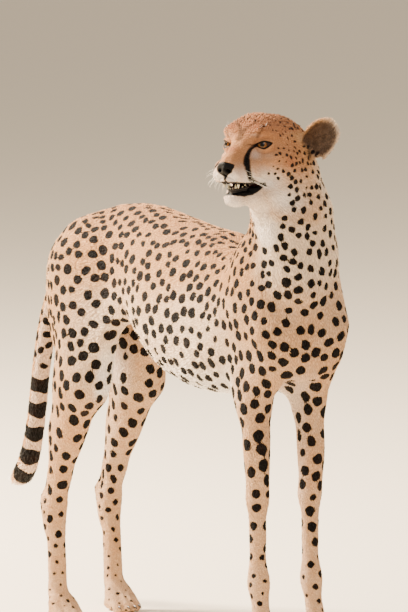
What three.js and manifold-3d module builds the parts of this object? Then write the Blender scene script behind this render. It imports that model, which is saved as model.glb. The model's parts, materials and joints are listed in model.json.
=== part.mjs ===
// A life-size standing cheetah, head turned to its right, as a still museum model.
// Millimetres, +X to the front of the body, +Y to its left, +Z up. The flesh is one smooth field of
// bones and muscles, meshed node by node and parted by thin cuts. The origin is moved at the end to
// the middle of the base of the whole model's box.
import * as THREE from "three";
import { mergeVertices } from "three/addons/utils/BufferGeometryUtils.js";
import Module from "manifold-3d";

const wasm = await Module();
wasm.setup();

// ---------------------------------------------------------------- driving dimensions
const CUT = 0.6; // width of a thin cut between two nodes
const SLIVER = 0.12; // edges shorter than this are left out
const FAR = 2000; // reach of a cutting half space
const SIDES = { left: 1, right: -1 }; // sign of y on each side

// The trunk's sections: distance forward, height of the back, height of the belly, half width.
const TRUNK = [
  [-406, 682, 668, 5],
  [-392, 714, 634, 34],
  [-350, 746, 600, 60],
  [-290, 778, 588, 76],
  [-210, 794, 580, 78],
  [-140, 795, 562, 82],
  [-90, 790, 530, 92],
  [-40, 783, 496, 101],
  [40, 774, 474, 104],
  [130, 768, 470, 103],
  [220, 767, 481, 93],
  [300, 764, 508, 79],
  [350, 738, 530, 66],
  [378, 690, 560, 48],
  [394, 640, 600, 8],
];

// The neck's line: place and radius at each station.
const NECK = [
  { at: [290, 0, 655], r: 96 },
  { at: [330, -2, 745], r: 78 },
  { at: [346, -10, 820], r: 66 },
  { at: [345, -27, 885], r: 60 },
];

// The tail's line from the rump to the tip, and its radius along that line.
const TAIL_LINE = [
  [-380, 0, 712],
  [-430, 0, 684],
  [-478, -4, 620],
  [-512, -8, 540],
  [-534, -10, 455],
  [-553, -8, 372],
  [-580, -4, 296],
  [-622, 2, 240],
  [-672, 6, 222],
];
const TAIL_RADII = [30, 27, 23, 21, 20, 20, 21, 23, 10];

// The head's own frame has +X to the nose, +Y to its left, +Z to the crown.
const HEAD = { at: [345, -59, 920], yaw: -65.5, pitch: 10, roll: 2, scale: 1.035 };
const EYE = { at: [71, 30.5, 18], r: 16 };
const NOSE_TIP = [142, 0, -27];
const EAR = { base: [-31, 53, 11], height: 75, halfWidth: 28.5, thick: 4.8, cup: 17 };
const MOUTH = { corner: [66, -49], front: 160, upperFront: -56, lowerFront: -77 };

const NOSE_RADII = [12, 15.5, 12];
const TONGUE = { at: [93, 0, -61], radii: [20, 10, 5] };
// Teeth as [share of the horseshoe, height, radius, lean].
const UPPER_TEETH = {
  back: 88,
  front: 131,
  width: 24,
  z: -47,
  slope: -0.01,
  r: 4.6,
  crowns: [
    [0.07, -6.5, 3.2, 0],
    [0.17, -8, 3, 0],
    [0.3, -13.5, 3.6, -1.5],
    [0.4, -7.5, 2, 0],
    [0.445, -7, 1.8, 0],
    [0.482, -6.5, 1.7, 0],
  ],
};
const LOWER_TEETH = {
  back: 90,
  front: 120,
  width: 18,
  z: -67.3,
  slope: -0.3,
  r: 4.2,
  crowns: [
    [0.08, 6, 2.8, 0],
    [0.2, 7, 2.8, 0],
    [0.35, 11.5, 3.2, 2],
    [0.43, 7, 1.7, 1],
    [0.48, 7, 1.6, 1],
  ],
};

// Joints of the legs, as [forward, out from the middle, up].
const FORE = {
  bladeTop: [268, 42, 735],
  shoulder: [364, 53, 612],
  elbow: [286, 57, 456],
  wrist: [300, 56, 158],
  paw: [322, 58, 40],
};
const HIND = {
  right: {
    hip: [-298, 58, 662],
    knee: [-258, 82, 452],
    hock: [-370, 80, 222],
    paw: [-350, 82, 40],
  },
  left: {
    hip: [-306, 58, 662],
    knee: [-316, 78, 450],
    hock: [-430, 76, 222],
    paw: [-412, 78, 40],
  },
};

const FORE_TOES = { spread: 15.5, reach: 48, toe: 11.5, pad: 26 };
const HIND_TOES = { spread: 14.5, reach: 50, toe: 11, pad: 24 };
const ANKLE = 66; // height of the cut between a leg and its paw

// The planes between the head, neck, trunk and tail; the head's is in its own frame.
const HEAD_PLANE = { at: [-24, 0, -17], normal: [0.814, 0, 0.58] };
const NECK_PLANE = { at: [322, 0, 702], normal: [0.3, -0.08, 0.95] };
const TAIL_PLANE = { at: [-420, 0, 690], normal: [-0.84, 0, -0.54] };
const TAIL_PARTS = [0.34, 0.68]; // shares of the tail's line where its lengths meet

// ---------------------------------------------------------------- field functions
// Each form is a function of a point that is negative inside, and close to a distance near its skin.
const vec = (a) => new THREE.Vector3(...a);

/** Joins two forms, filling the groove between them over the width k. */
function fuse(a, b, k) {
  const h = Math.max(k - Math.abs(a - b), 0) / k;
  return Math.min(a, b) - (h * h * k) / 4;
}

/** A limb from a to b, whose radius goes evenly from ra to rb. */
function limb(a, b, ra, rb) {
  const from = vec(a);
  const along = vec(b).sub(from);
  const length2 = along.lengthSq();
  return (x, y, z) => {
    const px = x - from.x;
    const py = y - from.y;
    const pz = z - from.z;
    const raw = (px * along.x + py * along.y + pz * along.z) / length2;
    const t = Math.min(Math.max(raw, 0), 1);
    const d = Math.hypot(px - t * along.x, py - t * along.y, pz - t * along.z);
    return d - ra - (rb - ra) * t;
  };
}

/** An egg-shaped muscle: its centre, its radii, and its tilt about y and turn about z, in degrees. */
function muscle(at, radii, tilt = 0, turn = 0) {
  const degrees = THREE.MathUtils.degToRad;
  const euler = new THREE.Euler(0, -degrees(tilt), degrees(turn), "ZYX");
  const m = new THREE.Matrix4().makeRotationFromEuler(euler).transpose().elements;
  const [cx, cy, cz] = at;
  const [rx, ry, rz] = radii;
  return (x, y, z) => {
    const px = x - cx;
    const py = y - cy;
    const pz = z - cz;
    const u = (m[0] * px + m[4] * py + m[8] * pz) / rx;
    const v = (m[1] * px + m[5] * py + m[9] * pz) / ry;
    const w = (m[2] * px + m[6] * py + m[10] * pz) / rz;
    const k0 = Math.hypot(u, v, w);
    const k1 = Math.hypot(u / rx, v / ry, w / rz);
    return k1 < 1e-9 ? -Math.min(rx, ry, rz) : (k0 * (k0 - 1)) / k1;
  };
}

/** Joins a list of forms with one groove width. */
function body(forms, k) {
  return (x, y, z) => forms.reduce((d, form) => fuse(d, form(x, y, z), k), 1e3);
}

/** A smooth curve through values at rising places, flat beyond its ends. */
function profile(rows, column) {
  const at = rows.map((r) => r[0]);
  const value = rows.map((r) => r[column]);
  const slope = value.map((_, i) => {
    const lo = Math.max(i - 1, 0);
    const hi = Math.min(i + 1, value.length - 1);
    return (value[hi] - value[lo]) / (at[hi] - at[lo]);
  });
  return (x) => {
    if (x <= at[0]) return value[0];
    let i = 0;
    while (i < at.length - 2 && x > at[i + 1]) i += 1;
    if (x >= at[at.length - 1]) return value[at.length - 1];
    const h = at[i + 1] - at[i];
    const t = (x - at[i]) / h;
    const s = 1 - t;
    return (
      value[i] * (1 + 2 * t) * s * s +
      value[i + 1] * (3 - 2 * t) * t * t +
      h * s * t * (slope[i] * s - slope[i + 1] * t)
    );
  };
}

/** The rib cage, belly and loin, from the trunk's sections. */
function trunkForm() {
  const top = profile(TRUNK, 1);
  const bottom = profile(TRUNK, 2);
  const half = profile(TRUNK, 3);
  const [back, front] = [TRUNK[0][0], TRUNK[TRUNK.length - 1][0]];
  return (x, y, z) => {
    const hz = Math.max((top(x) - bottom(x)) / 2, 4);
    const middle = (top(x) + bottom(x)) / 2;
    const up = (z - middle) / hz;
    // The back is narrower than the belly, and both are a little fuller than an ellipse.
    const hy = half(x) * (1 - 0.12 * THREE.MathUtils.clamp(up, -1, 1));
    const k = Math.pow(Math.pow(Math.abs(y / hy), 2.25) + Math.pow(Math.abs(up), 2.25), 1 / 2.25);
    const across = (k - 1) * Math.min(hy, hz) * (k < 1 ? 1 : 0.9);
    const beyond = Math.max(back - x, x - front, 0);
    return beyond > 0 ? Math.hypot(Math.max(across, 0), beyond) : across;
  };
}

const mirror = (p, s) => [p[0], p[1] * s, p[2]];
const shifted = (p, dx, dy, dz) => [p[0] + dx, p[1] + dy, p[2] + dz];

/** Toes with their pads, in front of the paw joint. */
function paw(joint, s, { spread, reach, toe, pad }) {
  const [x, y] = joint;
  const forms = [muscle([x + 2, s * y, 14], [pad + 3, pad, 17])];
  for (const [side, ahead] of [[-1.5, -9], [-0.5, 0], [0.5, 0], [1.5, -9]]) {
    const knuckle = [x + 14 + ahead * 0.6, s * y + side * spread * 0.86, 37];
    const tip = [x + reach + ahead, s * y + side * spread, toe - 2.5];
    forms.push(limb(knuckle, tip, toe + 1, toe));
  }
  return body(forms, 7);
}

/** Shoulder, upper arm, forearm, wrist and paw of one side. */
function foreLeg(s) {
  const j = Object.fromEntries(Object.entries(FORE).map(([k, p]) => [k, mirror(p, s)]));
  const shoulder = body(
    [
      limb(j.bladeTop, shifted(j.shoulder, -12, 0, 8), 30, 38),
      muscle([334, s * 54, 640], [46, 30, 92], 24), // shoulder blade muscles
      muscle([338, s * 56, 560], [40, 28, 74], -22), // point of the shoulder and upper arm
      muscle([284, s * 61, 512], [46, 24, 58], -18), // triceps above the elbow
    ],
    32,
  );
  const forearm = body(
    [
      limb(shifted(j.elbow, -18, 0, 20), j.elbow, 15, 20), // point of the elbow
      limb(shifted(j.elbow, 8, 0, 10), shifted(j.elbow, 12, -s, -150), 25, 20),
      limb(shifted(j.elbow, 12, -s, -150), shifted(j.wrist, 0, 0, 34), 20, 17),
      muscle(shifted(j.elbow, 15, s, -56), [29, 21, 84], 4), // extensor muscles
      muscle(shifted(j.wrist, 2, 0, 0), [21.5, 20, 30]), // wrist
      limb(shifted(j.wrist, 3, 0, -10), shifted(j.paw, -2, 0, 20), 17.5, 20),
    ],
    20,
  );
  const toes = paw(FORE.paw, s, FORE_TOES);
  return (x, y, z) => {
    const lower = fuse(forearm(x, y, z), toes(x, y, z), 16);
    return fuse(shoulder(x, y, z), lower, 34);
  };
}

/** Haunch, thigh, shank, hock and paw of one side. */
function hindLeg(side) {
  const s = SIDES[side];
  const j = Object.fromEntries(Object.entries(HIND[side]).map(([k, p]) => [k, mirror(p, s)]));
  const thigh = body(
    [
      limb(j.hip, shifted(j.knee, -2, -2 * s, 4), 62, 38),
      muscle([-292, s * 58, 668], [86, 42, 92], 20), // rump
      muscle([j.hip[0] - 44, s * 64, 585], [56, 38, 116], 8), // hamstrings
      muscle(shifted(j.knee, 2, -8 * s, 106), [58, 36, 108], -6), // front of the thigh
      muscle(shifted(j.knee, -34, -2 * s, 6), [64, 34, 56], 24), // lower thigh
      limb([-160, s * 60, 610], shifted(j.knee, 18, -10 * s, 34), 15, 22), // flank fold
    ],
    38,
  );
  const shank = body(
    [
      muscle(shifted(j.knee, 14, 0, -2), [28, 31, 38]), // knee cap
      limb(shifted(j.knee, -8, 0, -10), shifted(j.hock, 20, 0, 52), 36, 21),
      muscle(shifted(j.knee, -60, 0, -70), [48, 29, 92], -26), // calf
      limb(shifted(j.hock, 26, 0, 52), shifted(j.hock, 4, 0, -4), 20, 22),
      limb(shifted(j.hock, 22, 0, 104), shifted(j.hock, -22, 0, 10), 13, 12), // heel tendon
      limb(shifted(j.hock, -24, 0, 2), shifted(j.hock, -8, 0, -44), 14, 18), // point of the hock
      limb(shifted(j.hock, 2, 0, -10), shifted(j.paw, -6, 0, 14), 20, 20),
    ],
    20,
  );
  const toes = paw(HIND[side].paw, s, HIND_TOES);
  return (x, y, z) => {
    const lower = fuse(shank(x, y, z), toes(x, y, z), 16);
    return fuse(thigh(x, y, z), lower, 30);
  };
}

const neckForm = body(
  NECK.slice(1).map((n, i) => limb(NECK[i].at, n.at, NECK[i].r, n.r)),
  30,
);

// The head's frame in the body's frame, and back.
const headMatrix = new THREE.Matrix4().compose(
  vec(HEAD.at),
  new THREE.Quaternion().setFromEuler(
    new THREE.Euler(
      THREE.MathUtils.degToRad(HEAD.roll),
      -THREE.MathUtils.degToRad(HEAD.pitch),
      THREE.MathUtils.degToRad(HEAD.yaw),
      "ZYX",
    ),
  ),
  new THREE.Vector3(HEAD.scale, HEAD.scale, HEAD.scale),
);
const headInverse = headMatrix.clone().invert().elements;

/** Skull, cheeks, muzzle and jaw, in the head's own frame. */
function skullForm() {
  const both = (make) => [make(1), make(-1)];
  const cranium = body(
    [
      muscle([-4, 0, 20], [66, 55, 58]),
      muscle([46, 0, 31], [47, 48, 45]), // forehead
      ...both((s) => muscle([75, s * 29, 41], [18, 17, 12], 0, s * 25)), // brow
      ...both((s) => muscle([42, s * 43, -8], [44, 21, 25], -6, s * -14)), // cheekbone
      ...both((s) => muscle([8, s * 40, -32], [42, 21, 35])), // jaw muscle
    ],
    18,
  );
  const muzzle = body(
    [
      limb([76, 0, 20], [132, 0, -20], 23, 14), // bridge of the nose
      limb([80, 0, -18], [123, 0, -34], 29, 19), // upper jaw
      ...both((s) => muscle([119, s * 17, -39], [23, 17, 17], -4, s * 8)), // whisker pad
      ...both((s) => muscle([88, s * 25, -27], [33, 18, 22], 0, s * 12)), // cheek to pad
      muscle([136, 0, -27], [11, 15, 13]), // nose
    ],
    12,
  );
  const jaw = body(
    [
      ...both((s) => limb([14, s * 34, -52], [64, s * 24, -66], 20, 13.5)),
      ...both((s) => limb([64, s * 24, -66], [101, s * 10, -77], 13.5, 11)),
      muscle([101, 0, -78], [17, 16, 12.5], -8), // chin
      limb([40, 0, -50], [98, 0, -54], 22, 13), // filling of the mouth, parted by the gape
      limb([20, 0, -60], [68, 0, -71], 26, 15), // floor of the mouth
    ],
    14,
  );
  return (x, y, z) => {
    const upper = fuse(cranium(x, y, z), muzzle(x, y, z), 18);
    return fuse(upper, jaw(x, y, z), 12);
  };
}

const trunk = trunkForm();
const legs = [foreLeg(1), foreLeg(-1), hindLeg("left"), hindLeg("right")];
const skull = skullForm();
const scruff = limb([330, -10, 800], [338, -22, 930], 50, 44); // nape behind the skull
const throat = limb([392, -30, 700], [372, -70, 862], 40, 40); // windpipe and front of the neck
const breast = muscle([356, 0, 610], [38, 56, 90], 8);

const skullAt = (x, y, z) => {
  const e = headInverse;
  return skull(
    e[0] * x + e[4] * y + e[8] * z + e[12],
    e[1] * x + e[5] * y + e[9] * z + e[13],
    e[2] * x + e[6] * y + e[10] * z + e[14],
  );
};

const tailRoot = body(
  TAIL_LINE.slice(1, 5).map((p, i) => limb(TAIL_LINE[i], p, TAIL_RADII[i], TAIL_RADII[i + 1])),
  8,
);

/** The whole body but its tail's length, ears and claws. */
function cheetah(x, y, z) {
  let d = fuse(trunk(x, y, z), tailRoot(x, y, z), 26);
  for (const leg of legs) d = fuse(d, leg(x, y, z), 34);
  d = fuse(d, breast(x, y, z), 30);
  d = fuse(d, neckForm(x, y, z), 44);
  d = fuse(d, fuse(throat(x, y, z), scruff(x, y, z), 30), 34);
  return fuse(d, skullAt(x, y, z), 22);
}

// ---------------------------------------------------------------- meshing
/** Pulls a point onto the field's skin along its gradient. */
function settle(field, p) {
  for (let step = 0; step < 3; step += 1) {
    const d = field(...p);
    const e = 0.5;
    const g = [0, 1, 2].map((i) => {
      const q = [...p];
      q[i] += e;
      return (field(...q) - d) / e;
    });
    const g2 = g[0] * g[0] + g[1] * g[1] + g[2] * g[2];
    if (g2 < 0.05) return p;
    const move = THREE.MathUtils.clamp(d / g2, -3, 3);
    p = p.map((v, i) => v - g[i] * move);
  }
  return p;
}

/**
 * Where the four corners of a cell's face are in and out by turns, the skin would meet itself along
 * an edge, so the outer corner nearest to the skin is taken in.
 */
function settleFaces(value, n, index) {
  const steps = [index(1, 0, 0), index(0, 1, 0), index(0, 0, 1)];
  for (let changed = 1, pass = 0; changed && pass < 12; pass += 1) {
    changed = 0;
    for (let k = 1; k < n[2] - 2; k += 1)
      for (let j = 1; j < n[1] - 2; j += 1)
        for (let i = 1; i < n[0] - 2; i += 1)
          for (const [u, v] of [[0, 1], [1, 2], [2, 0]]) {
            const a = index(i, j, k);
            const face = [a, a + steps[u], a + steps[u] + steps[v], a + steps[v]];
            const [p, q, r, t] = face.map((at) => value[at] < 0);
            if (p !== r || q !== t || p === q) continue;
            const outer = face.filter((at) => value[at] >= 0);
            const near = value[outer[0]] < value[outer[1]] ? outer[0] : outer[1];
            value[near] = -0.02;
            changed += 1;
          }
  }
}

/** Meshes the field's skin inside a box, with cells of the given size, as a closed surface. */
function meshed(field, low, high, cell) {
  const n = low.map((v, i) => Math.ceil((high[i] - v) / cell[i]) + 1);
  const place = (i, j, k) => [low[0] + i * cell[0], low[1] + j * cell[1], low[2] + k * cell[2]];
  const index = (i, j, k) => i + n[0] * (j + n[1] * k);
  const edge = (i, size) => i === 0 || i === size - 1;
  const value = new Float32Array(n[0] * n[1] * n[2]);
  for (let k = 0; k < n[2]; k += 1)
    for (let j = 0; j < n[1]; j += 1)
      for (let i = 0; i < n[0]; i += 1) {
        const outside = edge(i, n[0]) || edge(j, n[1]) || edge(k, n[2]);
        value[index(i, j, k)] = outside ? 5 : field(...place(i, j, k)) || 1e-6;
      }
  settleFaces(value, n, index);
  const corners = [0, 1, 2, 3, 4, 5, 6, 7].map((c) => [c & 1, (c >> 1) & 1, c >> 2]);
  const points = [];
  const vertex = new Map();
  for (let k = 0; k < n[2] - 1; k += 1)
    for (let j = 0; j < n[1] - 1; j += 1)
      for (let i = 0; i < n[0] - 1; i += 1) {
        const v = corners.map(([a, b, c]) => value[index(i + a, j + b, k + c)]);
        const inside = v.filter((d) => d < 0).length;
        if (inside === 0 || inside === 8) continue;
        const sum = [0, 0, 0];
        let count = 0;
        for (let a = 0; a < 8; a += 1)
          for (const bit of [1, 2, 4]) {
            const b = a | bit;
            if (b === a || v[a] < 0 === v[b] < 0) continue;
            const t = v[a] / (v[a] - v[b]);
            for (let axis = 0; axis < 3; axis += 1)
              sum[axis] += corners[a][axis] + t * (corners[b][axis] - corners[a][axis]);
            count += 1;
          }
        const at = [i, j, k].map((c, axis) => low[axis] + (c + sum[axis] / count) * cell[axis]);
        const rim = edge(i, n[0] - 1) || edge(j, n[1] - 1) || edge(k, n[2] - 1);
        vertex.set(index(i, j, k), points.length / 3);
        points.push(...(rim ? at : settle(field, at)));
      }
  const faces = [];
  const ring = [
    [1, 2],
    [2, 0],
    [0, 1],
  ];
  for (let k = 0; k < n[2] - 1; k += 1)
    for (let j = 0; j < n[1] - 1; j += 1)
      for (let i = 0; i < n[0] - 1; i += 1)
        for (let axis = 0; axis < 3; axis += 1) {
          if ([i, j, k].some((c, other) => c === 0 && other !== axis)) continue;
          const a = value[index(i, j, k)] < 0;
          const far = [i, j, k];
          far[axis] += 1;
          if (a === value[index(...far)] < 0) continue;
          const [u, w] = ring[axis];
          const quad = [
            [0, 0],
            [-1, 0],
            [-1, -1],
            [0, -1],
          ].map(([du, dw]) => {
            const c = [i, j, k];
            c[u] += du;
            c[w] += dw;
            return vertex.get(index(...c));
          });
          if (!a) quad.reverse();
          faces.push(quad[0], quad[1], quad[2], quad[0], quad[2], quad[3]);
        }
  const g = new THREE.BufferGeometry();
  g.setAttribute("position", new THREE.Float32BufferAttribute(points, 3));
  g.setIndex(faces);
  return g;
}

// ---------------------------------------------------------------- solids
/** The squared distance of a point to a set of planes, whose sums are in q. */
const planeError = (q, x, y, z) =>
  x * (q[0] * x + 2 * (q[1] * y + q[2] * z + q[3])) +
  y * (q[4] * y + 2 * (q[5] * z + q[6])) +
  z * (q[7] * z + 2 * q[8]) +
  q[9];

/** The point nearest to those planes, or null where they leave it open. */
function nearestPoint(q) {
  const m = new THREE.Matrix3().set(q[0], q[1], q[2], q[1], q[4], q[5], q[2], q[5], q[7]);
  const size = q[0] + q[4] + q[7];
  if (Math.abs(m.determinant()) < 1e-5 * size ** 3) return null;
  return new THREE.Vector3(-q[3], -q[6], -q[8]).applyMatrix3(m.invert()).toArray();
}

/**
 * Merges the edges that matter least, of those up to a length, until few triangles are left. The
 * surface stays closed.
 */
function slimmed(geometry, target, longest = Infinity) {
  const p = Array.from({ length: geometry.attributes.position.count }, (_, i) =>
    new THREE.Vector3().fromBufferAttribute(geometry.attributes.position, i),
  );
  const index = geometry.index.array;
  const faces = [];
  const around = p.map(() => new Set());
  const planes = p.map(() => new Float64Array(10));
  const normal = (a, b, c) => new THREE.Vector3().subVectors(b, a).cross(c.clone().sub(a));
  for (let i = 0; i < index.length; i += 3) {
    const face = [index[i], index[i + 1], index[i + 2]];
    const n = normal(...face.map((v) => p[v]));
    const area = n.length();
    n.divideScalar(area || 1);
    const plane = [n.x, n.y, n.z, -n.dot(p[face[0]])];
    for (const v of face) {
      around[v].add(faces.length);
      let at = 0;
      for (let a = 0; a < 4; a += 1)
        for (let b = a; b < 4; b += 1) {
          planes[v][at] += area * plane[a] * plane[b];
          at += 1;
        }
    }
    faces.push(face);
  }
  let left = faces.length;
  const ring = (v) => new Set([...around[v]].flatMap((f) => faces[f]).filter((u) => u !== v));

  /** Whether the faces at v, but for those that vanish, keep their sides when it moves to q. */
  const steady = (v, other, q) => {
    for (const f of around[v]) {
      if (faces[f].includes(other)) continue;
      const before = normal(...faces[f].map((u) => p[u]));
      const after = normal(...faces[f].map((u) => (u === v ? q : p[u])));
      if (before.dot(after) < 0.3 * before.length() * after.length()) return false;
    }
    return true;
  };

  for (let pass = 0; pass < 60 && left > target; pass += 1) {
    const edges = [];
    faces.forEach((face) => {
      if (!face) return;
      for (let i = 0; i < 3; i += 1) {
        const [a, b] = [face[i], face[(i + 1) % 3]];
        if (a > b) continue;
        const length = p[a].distanceTo(p[b]);
        if (length > longest) continue;
        const q = planes[a].map((v, n) => v + planes[b][n]);
        const middle = p[a].clone().lerp(p[b], 0.5);
        const best = nearestPoint(q);
        const at = best ? vec(best) : middle;
        if (at.distanceTo(middle) > length) at.copy(middle);
        if (longest < Infinity) {
          // A sliver goes to one of its own ends, so that the cuts stay flat.
          const [atA, atB] = [p[a], p[b]].map((v) => planeError(q, v.x, v.y, v.z));
          at.copy(atA <= atB ? p[a] : p[b]);
        }
        const cost = planeError(q, at.x, at.y, at.z) + 0.02 * length ** 3;
        edges.push({ a, b, q, at, cost });
      }
    });
    if (!edges.length) break;
    edges.sort((e, f) => e.cost - f.cost);
    const touched = new Uint8Array(p.length);
    const limit = edges[Math.floor(edges.length * 0.35)].cost;
    const before = left;
    for (const { a, b, q, at, cost } of edges) {
      if (left <= target || cost > limit) break;
      if (touched[a] || touched[b]) continue;
      const [ringA, ringB] = [ring(a), ring(b)];
      const shared = [...ringA].filter((v) => ringB.has(v));
      const joined = [...around[a]].filter((f) => faces[f].includes(b));
      if (shared.length !== 2 || joined.length !== 2) continue;
      if (!steady(a, b, at) || !steady(b, a, at)) continue;
      for (const f of [...around[b]]) {
        if (faces[f].includes(a)) {
          for (const v of faces[f]) around[v].delete(f);
          faces[f] = null;
          left -= 1;
        } else {
          faces[f] = faces[f].map((v) => (v === b ? a : v));
          around[a].add(f);
        }
      }
      p[a].copy(at);
      planes[a] = q;
      for (const v of [a, b, ...ringA, ...ringB]) touched[v] = 1;
    }
    if (left === before) break;
  }
  const made = new THREE.BufferGeometry();
  made.setAttribute("position", new THREE.Float32BufferAttribute(p.flatMap((v) => v.toArray()), 3));
  made.setIndex(faces.filter(Boolean).flat());
  return made;
}

/** A closed geometry as a manifold solid. */
function solid(geometry) {
  const g = geometry.clone();
  g.deleteAttribute("normal");
  g.deleteAttribute("uv");
  const merged = mergeVertices(g, 1e-3);
  const made = new wasm.Manifold(
    new wasm.Mesh({
      numProp: 3,
      vertProperties: merged.attributes.position.array,
      triVerts: new Uint32Array(merged.index.array),
    }),
  );
  return made;
}

/** A manifold solid as a geometry. */
function geometryOf(made) {
  const m = made.getMesh();
  const g = new THREE.BufferGeometry();
  const positions = new Float32Array(m.numVert * 3);
  for (let i = 0; i < m.numVert; i += 1)
    positions.set(m.vertProperties.subarray(i * m.numProp, i * m.numProp + 3), i * 3);
  g.setAttribute("position", new THREE.BufferAttribute(positions, 3));
  g.setIndex(new THREE.BufferAttribute(new Uint32Array(m.triVerts), 1));
  return g;
}

/** A solid moved by a matrix. */
const placed = (made, matrix) => solid(geometryOf(made).applyMatrix4(matrix));

/** Everything on the side of a plane that its normal points to, at least half a cut away. */
function halfSpace(at, normal, gap = CUT / 2) {
  const box = new THREE.BoxGeometry(FAR, FAR, FAR).translate(0, 0, FAR / 2 + gap);
  const up = new THREE.Vector3(0, 0, 1);
  const turn = new THREE.Quaternion().setFromUnitVectors(up, vec(normal).normalize());
  return solid(box.applyQuaternion(turn).translate(...at));
}

/** A flat outline in the XZ plane, pulled out from y = near to y = far. */
function slab(shape, near, far) {
  const [low, high] = [Math.min(near, far), Math.max(near, far)];
  const options = { depth: high - low, bevelEnabled: false, curveSegments: 14 };
  const g = new THREE.ExtrudeGeometry(shape, options);
  // The extrusion runs along +Z, so it is turned to run along +Y with its outline upright.
  return solid(g.rotateX(Math.PI / 2).translate(0, high, 0));
}

const outline = (points) => new THREE.Shape(points.map(([x, z]) => new THREE.Vector2(x, z)));

/** An ellipse standing in the XZ plane. */
function oval(x, z, rx, rz, turn) {
  const shape = new THREE.Shape();
  shape.absellipse(x, z, rx, rz, 0, Math.PI * 2, false, THREE.MathUtils.degToRad(turn));
  return shape;
}

const ball = (at, radii) =>
  solid(new THREE.SphereGeometry(1, 12, 8).scale(...radii).translate(...at));

/** A closed tube through rings of points, each ring with the same number of points. */
function lofted(rings) {
  const n = rings[0].length;
  const points = rings.flat(2);
  const faces = [];
  for (let r = 0; r < rings.length - 1; r += 1)
    for (let i = 0; i < n; i += 1) {
      const [a, b] = [r * n + i, r * n + ((i + 1) % n)];
      faces.push(a, b, b + n, a, b + n, a + n);
    }
  for (const [first, order] of [[0, [0, 2, 1]], [(rings.length - 1) * n, [0, 1, 2]]]) {
    const centre = points.length / 3;
    const mean = [0, 1, 2].map((axis) => {
      let total = 0;
      for (let i = 0; i < n; i += 1) total += points[3 * (first + i) + axis];
      return total / n;
    });
    points.push(...mean);
    for (let i = 0; i < n; i += 1) {
      const face = [centre, first + i, first + ((i + 1) % n)];
      faces.push(...order.map((o) => face[o]));
    }
  }
  // The faces are turned over if the rings ran the other way round.
  let volume = 0;
  for (let i = 0; i < faces.length; i += 3) {
    const [a, b, c] = [0, 1, 2].map((n) => new THREE.Vector3().fromArray(points, 3 * faces[i + n]));
    volume += a.dot(b.cross(c));
  }
  const g = new THREE.BufferGeometry();
  g.setAttribute("position", new THREE.Float32BufferAttribute(points, 3));
  g.setIndex(volume < 0 ? faces.reverse() : faces);
  return g;
}

/** A length of the tail between two shares of its line. */
function tailLength(from, to, steps, sides = 10) {
  const curve = new THREE.CatmullRomCurve3(TAIL_LINE.map(vec));
  const total = curve.getLength();
  const rings = [];
  for (let step = 0; step <= steps; step += 1) {
    const share = from + ((to - from) * step) / steps;
    const u = THREE.MathUtils.clamp(share, 0, 1);
    const t = curve.getUtoTmapping(u);
    const at = curve.getPoint(t);
    const along = curve.getTangent(t);
    const side = new THREE.Vector3(0, 1, 0).cross(along).normalize();
    const up = along.clone().cross(side);
    const place = t * (TAIL_RADII.length - 1);
    const i = Math.min(Math.floor(place), TAIL_RADII.length - 2);
    let r = THREE.MathUtils.lerp(TAIL_RADII[i], TAIL_RADII[i + 1], place - i);
    const left = (1 - u) * total;
    if (left < r) r *= Math.sqrt(Math.max(1 - (1 - left / r) ** 2, 0.04));
    rings.push(
      Array.from({ length: sides }, (_, n) => {
        const angle = (2 * Math.PI * n) / sides;
        const out = side.clone().multiplyScalar(r * Math.cos(angle));
        return out.addScaledVector(up, r * Math.sin(angle)).add(at).toArray();
      }),
    );
  }
  return solid(lofted(rings));
}

/** A cupped ear as a thin shell, in the head's frame. */
function ear(s) {
  const across = 6;
  const rows = 7;
  const up = new THREE.Vector3(-0.2, 0.56, 0.8).normalize();
  const face = new THREE.Vector3(0.84, 0.54, -0.06).projectOnPlane(up).normalize();
  const side = up.clone().cross(face);
  const rings = [];
  for (let row = 0; row <= rows; row += 1) {
    const v = Math.min(row / rows, 0.975);
    const wide = EAR.halfWidth * Math.pow(1 - Math.pow(Math.abs(v - 0.46) / 0.54, 2.4), 0.5);
    const ring = [[], []];
    for (let i = 0; i <= across; i += 1) {
      const u = (2 * i) / across - 1;
      const depth = -EAR.cup * (1 - u * u) * (1 - 0.5 * v);
      const lean = -8 * v * v;
      const thick = EAR.thick * (1.5 - v) * (0.5 + 0.5 * (1 - Math.abs(u)));
      for (const layer of [0, 1]) {
        const p = vec(EAR.base)
          .addScaledVector(up, EAR.height * v)
          .addScaledVector(side, Math.max(wide, 9) * (layer ? 0.96 : 1) * Math.sin(u * 1.35))
          .addScaledVector(face, depth + lean + (layer ? thick : 0));
        ring[layer].push([p.x, p.y * s, p.z]);
      }
    }
    rings.push([...ring[0], ...ring[1].reverse()]);
  }
  return solid(lofted(rings));
}

/** What is left of a piece outside another, with half a cut between them on every side. */
function clearOf(piece, other, gap = CUT / 2) {
  const moves = [0, 1, 2].flatMap((axis) =>
    [gap, -gap].map((move) => new THREE.Vector3().setComponent(axis, move)),
  );
  return moves.reduce(
    (made, move) => made.subtract(placed(other, new THREE.Matrix4().makeTranslation(move))),
    piece.subtract(other),
  );
}

/** A curved, pointed claw from a toe, grown all round by a little for its pocket. */
function claw([x, y, z], grow) {
  const stations = [
    [-8 - grow, 0.5, 3],
    [3, 0.6, 2.4],
    [10 + grow, -4.5, 0.35],
  ];
  const rings = stations.map(([ahead, up, r]) =>
    Array.from({ length: 5 }, (_, n) => {
      const angle = (2 * Math.PI * n) / 5;
      const wide = (r + grow) * 0.7 * Math.sin(angle);
      return [x + ahead, y + wide, z + up + (r + grow) * Math.cos(angle)];
    }),
  );
  return solid(lofted(rings));
}

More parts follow.
